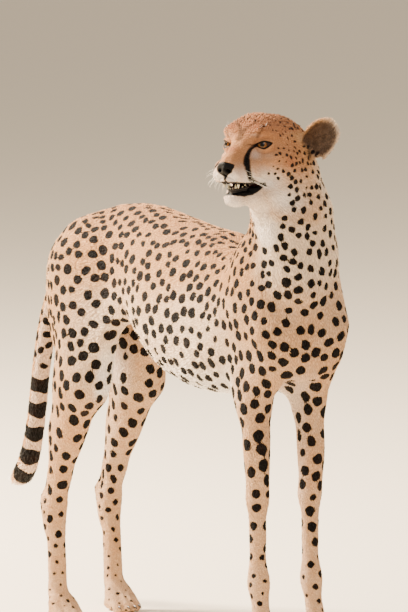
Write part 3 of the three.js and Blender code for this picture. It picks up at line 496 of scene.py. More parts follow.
# ---------- the skin
@dataclass
class Skin:
    """The one skin that replaces every node of flesh, from the nose to the tip of the tail."""

    places: Places
    single: tuple[str, ...] = ("trunk", "neck", "head", "lower_jaw", "nose")
    paired: tuple[str, ...] = ("ear", "foreleg", "forepaw", "hindleg", "hindpaw")
    tail: tuple[str, ...] = ("tail_base", "tail_middle", "tail_tip")
    swell_mm: float = 0.7
    ear_swell_mm: float = 1.5
    grid_mm: float = 8.2
    lens: float = 3.3
    lens_at_mm: Triple = (30.0, 0.0, 5.0)
    lens_reach_mm: float = 128.0
    lens_fall: float = 1.0
    body_depth_mm: float = 3.4
    thin_coat_mm: float = 1.9
    rounds_all: int = 18
    rounds_body: int = 26
    eye_tilt: float = 15.0
    eye_drop_mm: float = 1.5
    eye_half_long_mm: float = 13.2
    eye_half_high_mm: tuple[float, float] = (3.7, 4.5)
    rib_gap_mm: float = 29.0
    rib_mm: float = 0.9
    toe_cleft_mm: float = 3.4
    flesh: tuple[str, ...] = field(init=False)
    obj: bpy.types.Object = field(init=False)

    def __post_init__(self) -> None:
        """Lists the nodes of flesh that the skin replaces."""
        pairs = tuple(f"{part}_{side}" for part in self.paired for side in SIDES)
        self.flesh = self.single + pairs + self.tail

    def build(self) -> bpy.types.Object:
        """Makes the skin and gives it its final shape.

        Returns:
            The skin.
        """
        self.obj = self._joined_flesh()
        self._wrap()
        self._keep_largest()
        self._even_out()
        self._refine_face()
        self._sculpt()
        self.obj.data.shade_smooth()
        self._unwrap()
        log.info("skin: %d triangles", len(triangles(self.obj.data)))
        return self.obj

    def _joined_flesh(self) -> bpy.types.Object:
        """Copies the flesh nodes, swells each a little so that they overlap, and joins them.

        Returns:
            The joined copies.
        """
        copies = []
        for name in self.flesh + ("eye_left", "eye_right"):
            copy = copy_of(name, "flesh_" + name)
            with editing(copy):
                bpy.ops.mesh.remove_doubles(threshold=WELD)
                if not name.startswith("eye"):
                    bpy.ops.mesh.subdivide(number_cuts=1)
            swell = self.ear_swell_mm if name.startswith("ear") else self.swell_mm
            put_points(copy, points(copy) + normals(copy) * swell * MM)
            copies.append(copy)
        only(copies[0])
        for copy in copies[1:]:
            copy.select_set(True)
        bpy.ops.object.join()
        joined = bpy.context.view_layer.objects.active
        joined.name = joined.data.name = "skin"
        joined.data.materials.clear()
        return joined

    def _through_lens(self, p: Array, back: bool = False) -> Array:
        """Enlarges the head and leaves the rest near its size, so that an even grid is finer there.

        Args:
            p: places in the row's frame, or enlarged ones where back is true.
            back: undoes the enlargement.

        Returns:
            The places after it.
        """
        centre = self.places.from_head(np.array(self.lens_at_mm))
        reach = self.lens_reach_mm * MM
        d = p - centre
        r = np.maximum(np.linalg.norm(d, axis=1, keepdims=True), 1e-9)
        if back:
            edge = self.lens * reach
            new = np.where(r < edge, r / self.lens, reach + (r - edge) / self.lens_fall)
        else:
            beyond = self.lens * reach + (r - reach) * self.lens_fall
            new = np.where(r < reach, r * self.lens, beyond)
        return centre + d / r * new

    def _wrap(self) -> None:
        """Draws one even surface round the joined flesh."""
        put_points(self.obj, self._through_lens(points(self.obj)))
        only(self.obj)
        remesh = self.obj.modifiers.new("wrap", "REMESH")
        remesh.mode = "VOXEL"
        remesh.voxel_size = self.grid_mm * MM
        bpy.ops.object.modifier_apply(modifier="wrap")
        put_points(self.obj, self._through_lens(points(self.obj), back=True))

    def _keep_largest(self) -> None:
        """Drops any closed pocket that the wrap left inside the body."""
        with editing(self.obj):
            bpy.ops.mesh.separate(type="LOOSE")
        parts = sorted(bpy.context.selected_objects, key=lambda o: len(o.data.vertices))
        self.obj = parts.pop()
        self.obj.name = self.obj.data.name = "skin"
        for part in parts:
            bpy.data.objects.remove(part)
        log.info("skin: %d inner pockets removed", len(parts))

    def _lip_gap(self, q: Array) -> Array:
        """Gives each place's height from the mouth's gape.

        Args:
            q: places in the head's frame.

        Returns:
            Millimetres, and a large number behind the mouth's corner and away from the lips.
        """
        x, y, z = folded(q).T
        upper, lower = self.places.lips(x)
        gap = np.maximum(np.maximum(z - upper, lower - z), 0.0)
        off = (x < 60) | (y > 45) | (x > 150)
        return np.where(off, 40.0, gap)

    def _ears(self) -> Array:
        """Finds the ears.

        Returns:
            How far each vertex belongs to an ear, 1 on its cup and 0 on the head.
        """
        graph = bpy.context.evaluated_depsgraph_get()
        ears = [BVHTree.FromObject(frame["nodes"][f"ear_{side}"], graph) for side in SIDES]
        skull = BVHTree.FromObject(frame["nodes"]["head"], graph)
        co = points(self.obj)
        out = np.zeros(len(co))
        x, y, _ = folded(self.places.to_head(co)).T
        behind = (np.linalg.norm(self.places.to_head(co), axis=1) < 190.0) & (y > 25.0) & (x < 20.0)
        for i in np.nonzero(behind)[0]:
            at = Vector(co[i])
            if any(tree.find_nearest(at, 4.0 * MM)[0] is not None for tree in ears):
                gap = skull.find_nearest(at, 50.0 * MM)[3]
                out[i] = 1.0 if gap is None else min(1.0, max(0.0, (gap - 0.002) / 0.006))
        return out

    def _near(self) -> Array:
        """Says how far each vertex belongs to the head, from 0 at the throat to 1 on the face."""
        q = self.places.to_head(points(self.obj))
        return smooth(150.0, 95.0, np.linalg.norm(q - np.array([30.0, 0.0, 0.0]), axis=1))

    def _even_out(self) -> None:
        """Smooths the facets away and sinks the skin below the coat."""
        pairs = edges(self.obj)
        co = points(self.obj)
        head = self._near()
        ears = self._ears()
        gape = self._lip_gap(self.places.to_head(co))
        calm = 1.0 - np.maximum(0.7 * ears, smooth(9.0, 3.0, gape))
        co = relax(co, pairs, calm, self.rounds_all)
        low = smooth(0.13, 0.06, co[:, 2])
        calm = (1.0 - np.maximum(head, ears)) * (1.0 - 0.7 * low)
        co = relax(co, pairs, calm, self.rounds_body)
        put_points(self.obj, co)
        feet = smooth(0.13, 0.03, co[:, 2])
        thin = self.thin_coat_mm
        depth = (self.body_depth_mm + self.swell_mm - thin * head - thin * feet) * (1.0 - ears)
        co = co - normals(self.obj) * (depth * MM)[:, None]
        co[:, 2] = np.maximum(co[:, 2], 1.0 * MM)
        put_points(self.obj, co)

    def _subdivide_where(self, inside: Array) -> None:
        """Divides the faces whose corners are all among the given vertices.

        Args:
            inside: true for each vertex of the region.
        """
        mesh = self.obj.data
        only(self.obj)
        bpy.ops.object.mode_set(mode="EDIT")
        bpy.ops.mesh.select_mode(type="FACE")
        bpy.ops.mesh.select_all(action="DESELECT")
        bpy.ops.object.mode_set(mode="OBJECT")
        chosen = [all(inside[v] for v in f.vertices) for f in mesh.polygons]
        mesh.polygons.foreach_set("select", chosen)
        bpy.ops.object.mode_set(mode="EDIT")
        bpy.ops.mesh.subdivide(number_cuts=1)
        bpy.ops.object.mode_set(mode="OBJECT")

    def _refine_face(self) -> None:
        """Makes the mesh finer at the eyes, nose, lips and ears."""
        q = self.places.to_head(points(self.obj))
        upper, lower = self.places.lips(q[:, 0])
        lips = (q[:, 0] > 55) & (q[:, 2] < upper + 12) & (q[:, 2] > lower - 12)
        nose = np.linalg.norm(q - np.array([140.0, 0.0, -24.0]), axis=1) < 26
        self._subdivide_where((self.eye_gap(q) < 26) | lips | nose)
        q = self.places.to_head(points(self.obj))
        self._subdivide_where(self.eye_gap(q) < 20)

    def eye_gap(self, q: Array) -> Array:
        """Gives the distance from each place in the head's frame to the nearer eye's middle."""
        return np.linalg.norm(folded(q) - np.array(self.places.eye_mm), axis=1)

    def _sculpt(self) -> None:
        """Gives the skin its eyelids, nostrils, lips, brows, muscles and toes."""
        co = points(self.obj)
        q = self.places.to_head(co)
        face = np.linalg.norm(q - np.array([40.0, 0.0, 0.0]), axis=1) < 140.0
        q = self._features(q, normals(self.obj) @ self.places.head.turn())
        q = self._nostrils(q)
        q = self._eyelids(q)
        co[face] = self.places.from_head(q)[face]
        put_points(self.obj, co)
        body = self.places.to_body(co)
        co = co + normals(self.obj) * (self._muscles(body) + self._toes(body))[:, None] * MM
        co[:, 2] = np.maximum(co[:, 2], SOLE_MM * MM)
        put_points(self.obj, co)

    def _features(self, q: Array, n: Array) -> Array:
        """Raises and sinks the forms of the face, the same on both sides.

        Args:
            q: the vertices in the head's frame.
            n: their normals in the head's frame.

        Returns:
            The moved vertices.
        """
        both = folded(q)
        lift = relief(both, FACE_FORMS)
        upper, lower = self.places.lips(q[:, 0])
        front = smooth(118.0, 128.0, q[:, 0])
        cleft = np.exp(-((q[:, 1] / 1.8) ** 2)) * front * smooth(-36.0, -42.0, q[:, 2])
        lift -= 2.6 * cleft * (q[:, 2] > -62.0)
        for edge, height, amount in ((upper, 3.0, 0.9), (lower, -2.5, 0.8)):
            roll = np.exp(-(((q[:, 2] - edge - height) / 2.4) ** 2))
            lift += amount * roll * smooth(58.0, 70.0, q[:, 0])
        # The lower lip's rim is drawn up and in.
        rim = smooth(-6.0, -1.0, q[:, 2] - lower) * smooth(3.0, 0.0, q[:, 2] - lower)
        rim *= smooth(72.0, 84.0, q[:, 0]) * (q[:, 0] < 150)
        q = q + np.stack([0 * rim, -0.09 * q[:, 1] * rim, 2.6 * rim], 1)
        # The cheek folds in behind the back teeth.
        shut = np.exp(-(((q[:, 2] - (upper + lower) / 2) / 2.6) ** 2))
        shut = shut * smooth(60.0, 68.0, q[:, 0]) * smooth(104.0, 96.0, q[:, 0])
        lift -= 6.0 * shut * (np.abs(n[:, 1]) > 0.3) * (np.abs(q[:, 1]) > 14.0)
        # The ears' lower lobes hang down to the neck.
        lobe = hill(both, EAR_LOBE, (17.0, 17.0, 17.0))
        side = np.where(q[:, 1] >= 0, 1.0, -1.0)
        forward, inward, down = EAR_LOBE_PULL
        q = q + np.stack([forward * lobe, inward * side * lobe, down * lobe], 1)
        return q + n * lift[:, None]

    def _nostrils(self, q: Array) -> Array:
        """Sinks two comma-shaped nostrils and squares the nose leather's front.

        Args:
            q: the vertices in the head's frame.

        Returns:
            The moved vertices.
        """
        side = np.where(q[:, 1] >= 0, 1.0, -1.0)
        x, _, z = self.places.nose_mm
        out = q.copy()
        across = q[:, 1] - side * 8.6
        high = q[:, 2] - (z - 5.5) + 0.25 * side * across
        hole = smooth(1.15, 0.45, np.sqrt((across / 4.4) ** 2 + (high / 3.2) ** 2))
        out[:, 0] -= 8.5 * hole * (q[:, 0] > x - 6.0)
        lobe = np.exp(-((q[:, 1] / 4.5) ** 2 + ((q[:, 2] - z + 5.0) / 7.0) ** 2)) * (q[:, 0] > x)
        out[:, 0] += 1.6 * lobe
        out[:, 1] -= side * 2.6 * hill(folded(q), (x + 1.0, 14.0, z - 7.5), (5.0, 4.0, 1.7))
        return out

    def eye_axes(self, side: float) -> tuple[Array, Array, Array, Array]:
        """Finds how an eye sits, in the head's frame.

        Args:
            side: 1 for the left eye, -1 for the right.

        Returns:
            Its middle, and the directions outward, to its outer corner and up.
        """
        x, y, z = self.places.eye_mm
        out = unit(np.array([0.84, 0.52 * side, 0.08]))
        across = unit(np.cross(np.array([0.0, 0.0, 1.0]), out)) * side
        up = np.cross(out, across) * side
        tilt = math.radians(self.eye_tilt)
        corner = across * math.cos(tilt) + up * math.sin(tilt)
        rise = up * math.cos(tilt) - across * math.sin(tilt)
        return np.array([x, y * side, z]), out, corner, rise

    def lid_gap(self, q: Array, side: float) -> tuple[Array, Array, Array, Array]:
        """Says how far places are outside the almond opening of the eye.

        Args:
            q: places in the head's frame.
            side: 1 for the left eye, -1 for the right.

        Returns:
            The gap along the eye's surface, the height above the eye's line, the distance from its
            middle, and the directions from it.
        """
        middle, out, corner, rise = self.eye_axes(side)
        d = q - middle
        far = np.maximum(np.linalg.norm(d, axis=1), 1e-6)
        ahead = d @ out
        r = self.places.eye_radius_mm
        h = r * np.arctan2(d @ corner, np.maximum(ahead, 1e-6))
        v = r * np.arctan2(d @ rise, np.maximum(ahead, 1e-6))
        v = v + 0.035 * h * np.abs(h) * np.where(h < 0, 0.5, 0.0) + self.eye_drop_mm
        half = np.where(v > 0, *self.eye_half_high_mm)
        k = ((np.abs(h) / self.eye_half_long_mm) ** 1.6 + (np.abs(v) / half) ** 1.9) ** (1 / 1.75)
        k = np.maximum(k, 1e-6)
        gap = np.hypot(h, v) * (1.0 - 1.0 / k)
        gap = np.where(ahead < 0.5, 60.0, gap)
        return gap, v, far, d / far[:, None]

    def _eyelids(self, q: Array) -> Array:
        """Draws the lids over each eyeball and opens them in an almond.

        Args:
            q: the vertices in the head's frame.

        Returns:
            The moved vertices.
        """
        out = q.copy()
        r = self.places.eye_radius_mm
        for side in SIDES.values():
            gap, v, far, way = self.lid_gap(q, side)
            near = (gap < 12.0) & (far < r + 16.0)
            upper = smooth(-1.0, 1.5, v)
            lid = r + 0.5 + (1.6 + 0.9 * upper) * smooth(0.0, 2.2, gap)
            lid = lid - 1.1 * upper * np.exp(-(((gap - 5.6) / 1.0) ** 2))
            lid = lid + 0.4 * (1 - upper) * np.exp(-(((gap - 4.4) / 2.0) ** 2))
            lid = np.where(gap < 0.35, r - 2.6 + 3.1 * smooth(-0.55, 0.35, gap), lid)
            keep = smooth(4.0, 11.0, gap)
            new = lid * (1.0 - keep) + np.maximum(far, r + 2.0) * keep
            middle = self.eye_axes(side)[0]
            out[near] = (middle + way * new[:, None])[near]
            over = (gap >= 12.0) & (gap < 50.0) & (far < r + 2.0)
            out[over] = (middle + way * (r + 2.0))[over]
        return out

    def _muscles(self, b: Array) -> Array:
        """Shapes the ribs, shoulder blades and long muscles.

        Args:
            b: the vertices in the trunk's own frame.

        Returns:
            Their heights in millimetres.
        """
        both = folded(b)
        x, y, z = both.T
        lean = x + 0.35 * (z - 600.0)
        cage = smooth(-120.0, -40.0, x) * smooth(230.0, 170.0, x)
        cage = cage * smooth(480.0, 540.0, z) * smooth(740.0, 690.0, z) * smooth(50.0, 80.0, y)
        ribs = self.rib_mm * cage * np.cos(lean * 2 * math.pi / self.rib_gap_mm)
        return relief(both, BODY_FORMS) + ribs

    def _toes(self, b: Array) -> Array:
        """Shapes the clefts between the toes.

        Args:
            b: the vertices in the trunk's own frame.

        Returns:
            Their heights in millimetres, below 0 in a cleft.
        """
        lift = np.zeros(len(b))
        for x, y, spread in PAWS:
            d = b[:, 0] - x
            low = smooth(52.0, 34.0, b[:, 2]) * smooth(16.0, 34.0, d) * (np.abs(b[:, 1] - y) < 45)
            for place in (-1.0, 0.0, 1.0):
                fan = y + place * spread * (0.9 + 0.002 * d)
                lift -= self.toe_cleft_mm * low * np.exp(-(((b[:, 1] - fan) / 2.6) ** 2))
        return lift

    def shares(self) -> Array:
        """Gives each vertex's share of the skin's area."""
        co, tri = points(self.obj), triangles(self.obj.data)
        return np.bincount(tri.ravel(), np.repeat(areas(co, tri), 3), len(co))

    def _unwrap(self) -> None:
        """Lays the skin out flat, for the coat's colours as well as its own."""
        with editing(self.obj):
            bpy.ops.mesh.select_mode(type="FACE")
            bpy.ops.uv.smart_project(angle_limit=math.radians(66), island_margin=0.002)
        self.obj.data.uv_layers[0].name = "OFBake"


# ---------- the markings
@dataclass(frozen=True)
class SpotZone:
    """How the coat is spotted round one place, in the trunk's own frame and millimetres."""

    at: Triple
    spacing: float
    size: float
    drawn: Triple = (0.0, 0.0, 1.0)
    stretch: float = 1.0


# The distance, in millimetres, of a place that is near no mark.
FAR = 30.0
# Slow waves that make the spots' edges uneven, as directions and phases, and their height.
EDGE_WAVES = (((0.31, 0.22, -0.27), 0.3), ((-0.24, 0.35, 0.3), 1.7), ((0.2, -0.33, 0.36), 4.1))
EDGE_WAVE_MM = 0.9
# Mirrored to the other side.
BODY_ZONES = (
    SpotZone((-330, 80, 700), 22.5, 8.6, (1, 0, -0.3), 1.2),
    SpotZone((-300, 95, 580), 26, 8.8, (1, 0, -0.4), 1.15),
    SpotZone((-330, 100, 480), 27, 8.6, (0.3, 0, 1), 1.1),
    SpotZone((-390, 50, 640), 24, 7.2, (0, 0, 1), 1.15),
    SpotZone((-280, 20, 785), 20, 6.8, (1, 0, 0), 1.5),
    SpotZone((-90, 20, 785), 21, 6.6, (1, 0, 0), 1.6),
    SpotZone((90, 20, 780), 20, 6.2, (1, 0, 0), 1.5),
    SpotZone((240, 20, 770), 19, 6.0, (1, 0, 0), 1.4),
    SpotZone((-200, 85, 660), 25, 8.2, (1, 0, 0.2), 1.2),
    SpotZone((-60, 95, 640), 24.5, 8.1, (1, 0, 0.2), 1.2),
    SpotZone((100, 100, 630), 24, 7.9, (1, 0, 0.3), 1.2),
    SpotZone((0, 80, 530), 25.5, 7.3, (1, 0, 0.2), 1.15),
    SpotZone((160, 80, 500), 25.5, 7.1, (1, 0, 0.2), 1.1),
    SpotZone((280, 95, 700), 22, 6.2, (0, 0, 1), 1.3),
    SpotZone((320, 95, 590), 24, 7.0, (0, 0, 1), 1.2),
    SpotZone((385, 45, 650), 24, 6.8, (0, 1, 0.2), 1.1),
    SpotZone((392, 20, 560), 26, 7.8, (0, 1, 0), 1.1),
    SpotZone((350, 60, 770), 21, 5.8, (1, 0.6, 0), 1.3),
    SpotZone((370, 40, 840), 19, 4.9, (1, 0.6, 0), 1.3),
    SpotZone((290, 20, 800), 14, 5.2, (0, 1, 0), 1.6),
    SpotZone((296, 20, 880), 12.5, 4.6, (0, 1, 0), 1.5),
    SpotZone((295, 85, 470), 26, 8.2, (0, 0, 1), 1.1),
    SpotZone((300, 80, 370), 27, 7.4, (0, 0, 1), 1.1),
    SpotZone((305, 78, 260), 25, 5.6, (0, 0, 1), 1.1),
    SpotZone((310, 75, 140), 21, 3.8),
    SpotZone((330, 60, 50), 17, 2.4),
    SpotZone((-340, 100, 390), 29, 8.2, (0, 0, 1), 1.2),
    SpotZone((-390, 90, 280), 25, 6.2, (0, 0, 1), 1.1),
    SpotZone((-400, 85, 150), 21, 4.0),
    SpotZone((-380, 80, 50), 17, 2.4),
    SpotZone((-430, 0, 690), 23, 6.6, (0, 1, 0), 1.2),
    SpotZone((-510, 0, 560), 21, 6.8, (0, 1, 0), 1.3),
    SpotZone((-545, 0, 430), 20, 7.6, (0, 1, 0), 1.5),
)
# The same on the head, in its own frame.
HEAD_ZONES = (
    SpotZone((58, 54, -12), 9.6, 2.0, (1, 0, -0.4), 1.25),
    SpotZone((36, 60, -8), 10.3, 2.6, (1, 0, -0.5), 1.4),
    SpotZone((12, 62, -22), 12.2, 3.3, (1, 0, -0.5), 1.3),
    SpotZone((18, 60, -52), 14, 3.8, (1, 0, -0.6), 1.2),
    SpotZone((-14, 62, -60), 15, 4.3, (1, 0, -0.6), 1.2),
    SpotZone((0, 60, -100), 18, 4.7, (1, 0, -0.4), 1.2),
    SpotZone((60, 14, 76), 10.0, 1.6, (1, 0, 0), 2.2),
    SpotZone((20, 20, 76), 10.5, 2.0, (1, 0, 0), 1.8),
    SpotZone((36, 52, 34), 10.5, 1.7, (1, 0, 0.5), 1.6),
    SpotZone((-30, 20, 66), 12, 4.0, (0, 1, 0), 1.4),
)


@dataclass
class Markings:
    """Every mark of the coat, as numbers for each place on the skin."""

    places: Places
    skin: Skin
    seed: int = 11
    spread: float = 0.95
    boldness: float = 1.38
    candidates: int = 26000
    cell_mm: float = 50.0
    share_free: float = 0.44
    band_start: float = 0.535
    band_step: float = 0.080
    spot_at: Array = field(init=False)
    spot_long: Array = field(init=False)
    spot_wide: Array = field(init=False)
    spot_out: Array = field(init=False)
    spot_root: Array = field(init=False)
    spot_size: Array = field(init=False)
    tree: KDTree = field(init=False)

    def _zones(self) -> list[tuple[SpotZone, Array, Array]]:
        """Lists the zones of both sides.

        Returns:
            Each zone with its place and the way in which its spots are drawn out.
        """
        flips = [np.array([1.0, s, 1.0]) for s in SIDES.values()]
        body = [[(z, flip * z.at, flip * z.drawn) for z in BODY_ZONES] for flip in flips]
        turn = self.places.head.turn()
        head = []
        for z in HEAD_ZONES:
            for flip in flips:
                at = self.places.to_body(self.places.from_head(flip * z.at))
                head.append((z, at, turn @ (flip * z.drawn)))
        return body[0] + head + body[1]

    def _kept_apart(
        self, at: Array, order: Array, spacing: Array, chance: np.random.Generator
    ) -> list[int]:
        """Keeps the places that are not too near to one kept before.

        Args:
            at: all the places.
            order: the numbers of those that are tried.
            spacing: the distance wanted round each.
            chance: the source of randomness.

        Returns:
            The numbers of the places kept.
        """
        kept: list[int] = []
        cells: dict[tuple[int, int, int], list[int]] = {}
        beside = (-1, 0, 1)
        for i in order:
            p, gap = at[i], spacing[i] * (0.84 + 0.2 * chance.random())
            x, y, z = (int(v // self.cell_mm) for v in p)
            around = [(x + a, y + b, z + c) for a in beside for b in beside for c in beside]
            near = [j for key in around for j in cells.get(key, ())]
            if near and np.min(((at[near] - p) ** 2).sum(1)) < gap * gap:
                continue
            kept.append(i)
            cells.setdefault((x, y, z), []).append(i)
        return kept

    def plan(self, co: Array, n: Array, weight: Array) -> None:
        """Scatters the spots over the skin.

        Args:
            co: places spread over the skin.
            n: the skin's normals there.
            weight: each place's share of the skin.
        """
        zones = self._zones()
        chance = np.random.default_rng(self.seed)
        pick = chance.choice(len(co), self.candidates, replace=False, p=weight / weight.sum())
        at, facing = self.places.to_body(co[pick]), n[pick]
        pull = np.stack([((at - middle) ** 2).sum(1) for _, middle, _ in zones], 1)
        share = 1.0 / (pull + 260.0) ** 2.2
        share /= share.sum(1, keepdims=True)
        spacing = share @ np.array([z.spacing for z, _, _ in zones]) * self.spread
        size = share @ np.array([z.size for z, _, _ in zones]) * self.boldness
        stretch = share @ np.array([z.stretch for z, _, _ in zones])
        drawn = share @ np.array([unit(w) for _, _, w in zones])
        tried = np.nonzero(self._unspotted(co[pick]) < chance.random(len(pick)))[0]
        kept = np.array(self._kept_apart(at, tried, spacing, chance))
        out = facing[kept]
        way = drawn[kept] + chance.normal(0.0, 0.28, (len(kept), 3))
        way = unit(way - out * (way * out).sum(1, keepdims=True))
        self.spot_at, self.spot_out = at[kept], out
        self.spot_long, self.spot_wide = way, np.cross(out, way)
        grow = np.clip(chance.normal(1.0, 0.15, len(kept)), 0.62, 1.35)
        uneven = stretch[kept] + chance.normal(0, 0.12, len(kept))
        self.spot_root = np.sqrt(np.clip(uneven, 1.0, 2.4))
        self.tree = KDTree(len(kept))
        for j, p in enumerate(self.spot_at):
            self.tree.insert(Vector(p), j)
        self.tree.balance()
        free = np.array([self.tree.find_n(Vector(p), 2)[1][2] for p in self.spot_at])
        widest = self.share_free * free / np.sqrt(self.spot_root)
        self.spot_size = np.minimum(size[kept] * grow, widest)
        log.info("markings: %d spots", len(kept))

    def _tail_share(self, b: Array) -> tuple[Array, Array]:
        """Gives places' shares of the tail's length, and their distances from its line."""
        gap, share, _ = along(self.places.tail(), b)
        return share, gap

    def _unspotted(self, co: Array) -> Array:
        """Finds where the coat has no spots.

        Args:
            co: the places, in the row's frame.

        Returns:
            The chance, 0 to 1, that a spot is left out there.
        """
        b, q = self.places.to_body(co), self.places.to_head(co)
        y = np.abs(b[:, 1])
        trunk = smooth(-330.0, -280.0, b[:, 0]) * smooth(330.0, 280.0, b[:, 0])
        belly = smooth(510.0, 478.0, b[:, 2]) * smooth(74.0, 46.0, y) * trunk
        inner = smooth(40.0, 26.0, y) * smooth(540.0, 490.0, b[:, 2])
        inner *= (b[:, 2] > 90.0) * (b[:, 0] > -430)
        throat = self._throat(b)
        chest = smooth(26.0, 12.0, y) * smooth(580.0, 540.0, b[:, 2]) * (b[:, 0] > 340)
        share, gap = self._tail_share(b)
        tail = smooth(0.51, 0.53, share) * (gap < 45)
        muzzle = smooth(62.0, 74.0, q[:, 0]) * smooth(60.0, 40.0, q[:, 2]) * (q[:, 2] > -120)
        front = (q[:, 0] > 86) & (q[:, 2] > -120)
        chin = (q[:, 0] > 26) & (q[:, 2] < -36) & (q[:, 2] > -110)
        ears = self.ear_part(q)
        face = (q[:, 0] > -40) & (q[:, 2] > -60)
        eye = smooth(30.0, 24.0, self.skin.eye_gap(q))
        parts = [belly, inner, throat, chest, tail, muzzle, front, chin, ears, eye * face]
        return np.clip(np.max(np.stack([np.asarray(v, float) for v in parts]), axis=0), 0.0, 1.0)

    def _throat(self, b: Array) -> Array:
        """Says where the throat and the front of the neck are.

        Args:
            b: places in the trunk's own frame.

        Returns:
            1 on the middle of the throat, and 0 away from it.
        """
        chin = self.places.to_body(self.places.from_head(np.array(CHIN)))
        gap, share, _ = along(np.array([chin, *THROAT_LINE], float), b)
        return smooth(56.0 - 16.0 * share, 28.0 - 10.0 * share, gap)

    def _ear_lies(self, q: Array) -> tuple[Array, Array, Array]:
        """Measures places from the root of the nearer ear.

        Args:
            q: places in the head's frame.

        Returns:
            The offsets from the ear's root, the heights up the ear, and the distances across it.
        """
        up, face = unit(np.array(self.places.ear_up)), unit(np.array(self.places.ear_face))
        d = folded(q) - np.array(self.places.ear_base_mm)
        return d, d @ up, d @ np.cross(up, face)

    def ear_part(self, q: Array) -> Array:
        """Says where the ears are, 0 to 1."""
        d, high, _ = self._ear_lies(q)
        return smooth(4.0, 16.0, high) * (np.linalg.norm(d, axis=1) < 92) * (d[:, 1] > -6)

    def spots(self, co: Array) -> Array:
        """Measures how far places are from the nearest spot or tail band.

        Args:
            co: the places, in the row's frame.

        Returns:
            Millimetres to the mark's edge, below 0 inside it, and FAR away from all marks.
        """
        b = self.places.to_body(co)
        wave = np.stack([np.sin(b @ np.array(k) + f) for k, f in EDGE_WAVES], 1)
        b = b + wave * EDGE_WAVE_MM
        out = np.full(len(b), FAR)
        for i, p in enumerate(b):
            for _, j, _ in self.tree.find_n(p, 4):
                d = p - self.spot_at[j]
                u = d @ self.spot_long[j] / self.spot_root[j]
                v = d @ self.spot_wide[j] * self.spot_root[j]
                w = d @ self.spot_out[j] * 0.6
                gap = math.sqrt(u * u + v * v + w * w) - self.spot_size[j]
                if gap < out[i]:
                    out[i] = gap
        share, gap = self._tail_share(self.places.to_body(co))
        ring = np.abs(np.mod((share - self.band_start) / self.band_step, 1.0) - 0.5) * 2.0
        band = (ring - 0.60) * 24.0 + 2.0 * np.sin(0.2 * b[:, 1] + 9.0 * share)
        band = np.where(share > 0.955, 20.0, band)
        on_tail = (gap < 45) & (share > self.band_start)
        return np.where(on_tail, np.minimum(band, FAR), out)

    def fields(self, co: Array, n: Array) -> dict[str, Array]:
        """Gives every mark at the given places.

        Args:
            co: the places, in the row's frame.
            n: the skin's normals there.

        Returns:
            The numbers by the names that the materials read.
        """
        b, q = self.places.to_body(co), self.places.to_head(co)
        head = smooth(-70.0, -20.0, q[:, 0]) * smooth(-125.0, -88.0, q[:, 2])
        head *= np.linalg.norm(q, axis=1) < 190
        tan, white = self._ground(b, n)
        marks = self.face(q, n @ self.places.head.turn())
        marks["tan"] = np.clip(tan * (1 - head) + head * marks["tan"], 0, 1)
        throat = np.maximum(marks["white"], WHITE_THROAT * self._throat(b))
        marks["white"] = np.clip(white * (1 - head) + head * throat, 0, 1)
        return {"spot": self.spots(co), **marks}

    def _ground(self, b: Array, n: Array) -> tuple[Array, Array]:
        """Gives the body's ground colour.

        Args:
            b: places in the trunk's own frame.
            n: the skin's normals there.

        Returns:
            How tan and how white each place is, 0 to 1.
        """
        y = np.abs(b[:, 1])
        high = smooth(500.0, 800.0, b[:, 2] + 0.25 * (60.0 - y))
        tan = 0.16 + 0.74 * high ** 2.0
        legs = smooth(480.0, 400.0, b[:, 2])
        share, tail_gap = self._tail_share(b)
        tail = (b[:, 0] < -420) & (tail_gap < 48)
        neck = smooth(600.0, 740.0, b[:, 2]) * smooth(240.0, 330.0, b[:, 0])
        behind = smooth(390.0, 300.0, b[:, 0])
        tan = tan * (1 - neck) + neck * (0.10 + 0.42 * behind)
        # The fore and hind ends of the trunk are at least this tan: partly their golden coat,
        # partly painted shade that darkens them.
        limbs = np.maximum(smooth(220.0, 310.0, b[:, 0]), smooth(-200.0, -270.0, b[:, 0]))
        limbs = limbs * (1 - neck)
        tan = tan + limbs * np.maximum(0.38 - tan, 0.0)
        tan = tan * (1 - legs) + legs * 0.36
        tan = np.where(tail, 0.52, tan)
        trunk = smooth(-330.0, -270.0, b[:, 0]) * smooth(360.0, 300.0, b[:, 0])
        belly = smooth(560.0, 470.0, b[:, 2] - 0.3 * (90 - y)) * trunk
        belly = belly * smooth(420.0, 450.0, b[:, 2])
        belly *= smooth(260.0, 230.0, b[:, 0]) * smooth(-250.0, -215.0, b[:, 0])
        belly *= 1.0 - smooth(-110.0, -160.0, b[:, 0]) * smooth(78.0, 94.0, y)
        inner = smooth(46.0, 24.0, y) * smooth(560.0, 480.0, b[:, 2])
        rear = smooth(-385.0, -425.0, b[:, 0] + 0.15 * (b[:, 2] - 600))
        rear = rear * smooth(700.0, 660.0, b[:, 2]) * smooth(430.0, 500.0, b[:, 2])
        throat = WHITE_THROAT * self._throat(b)
        white = np.max(np.stack([belly, 0.5 * inner, 0.5 * rear, throat]), axis=0)
        white_tail = np.maximum(smooth(0.93, 0.97, share), 0.35 * (n[:, 0] > 0))
        return tan, np.where(tail, white_tail, white)

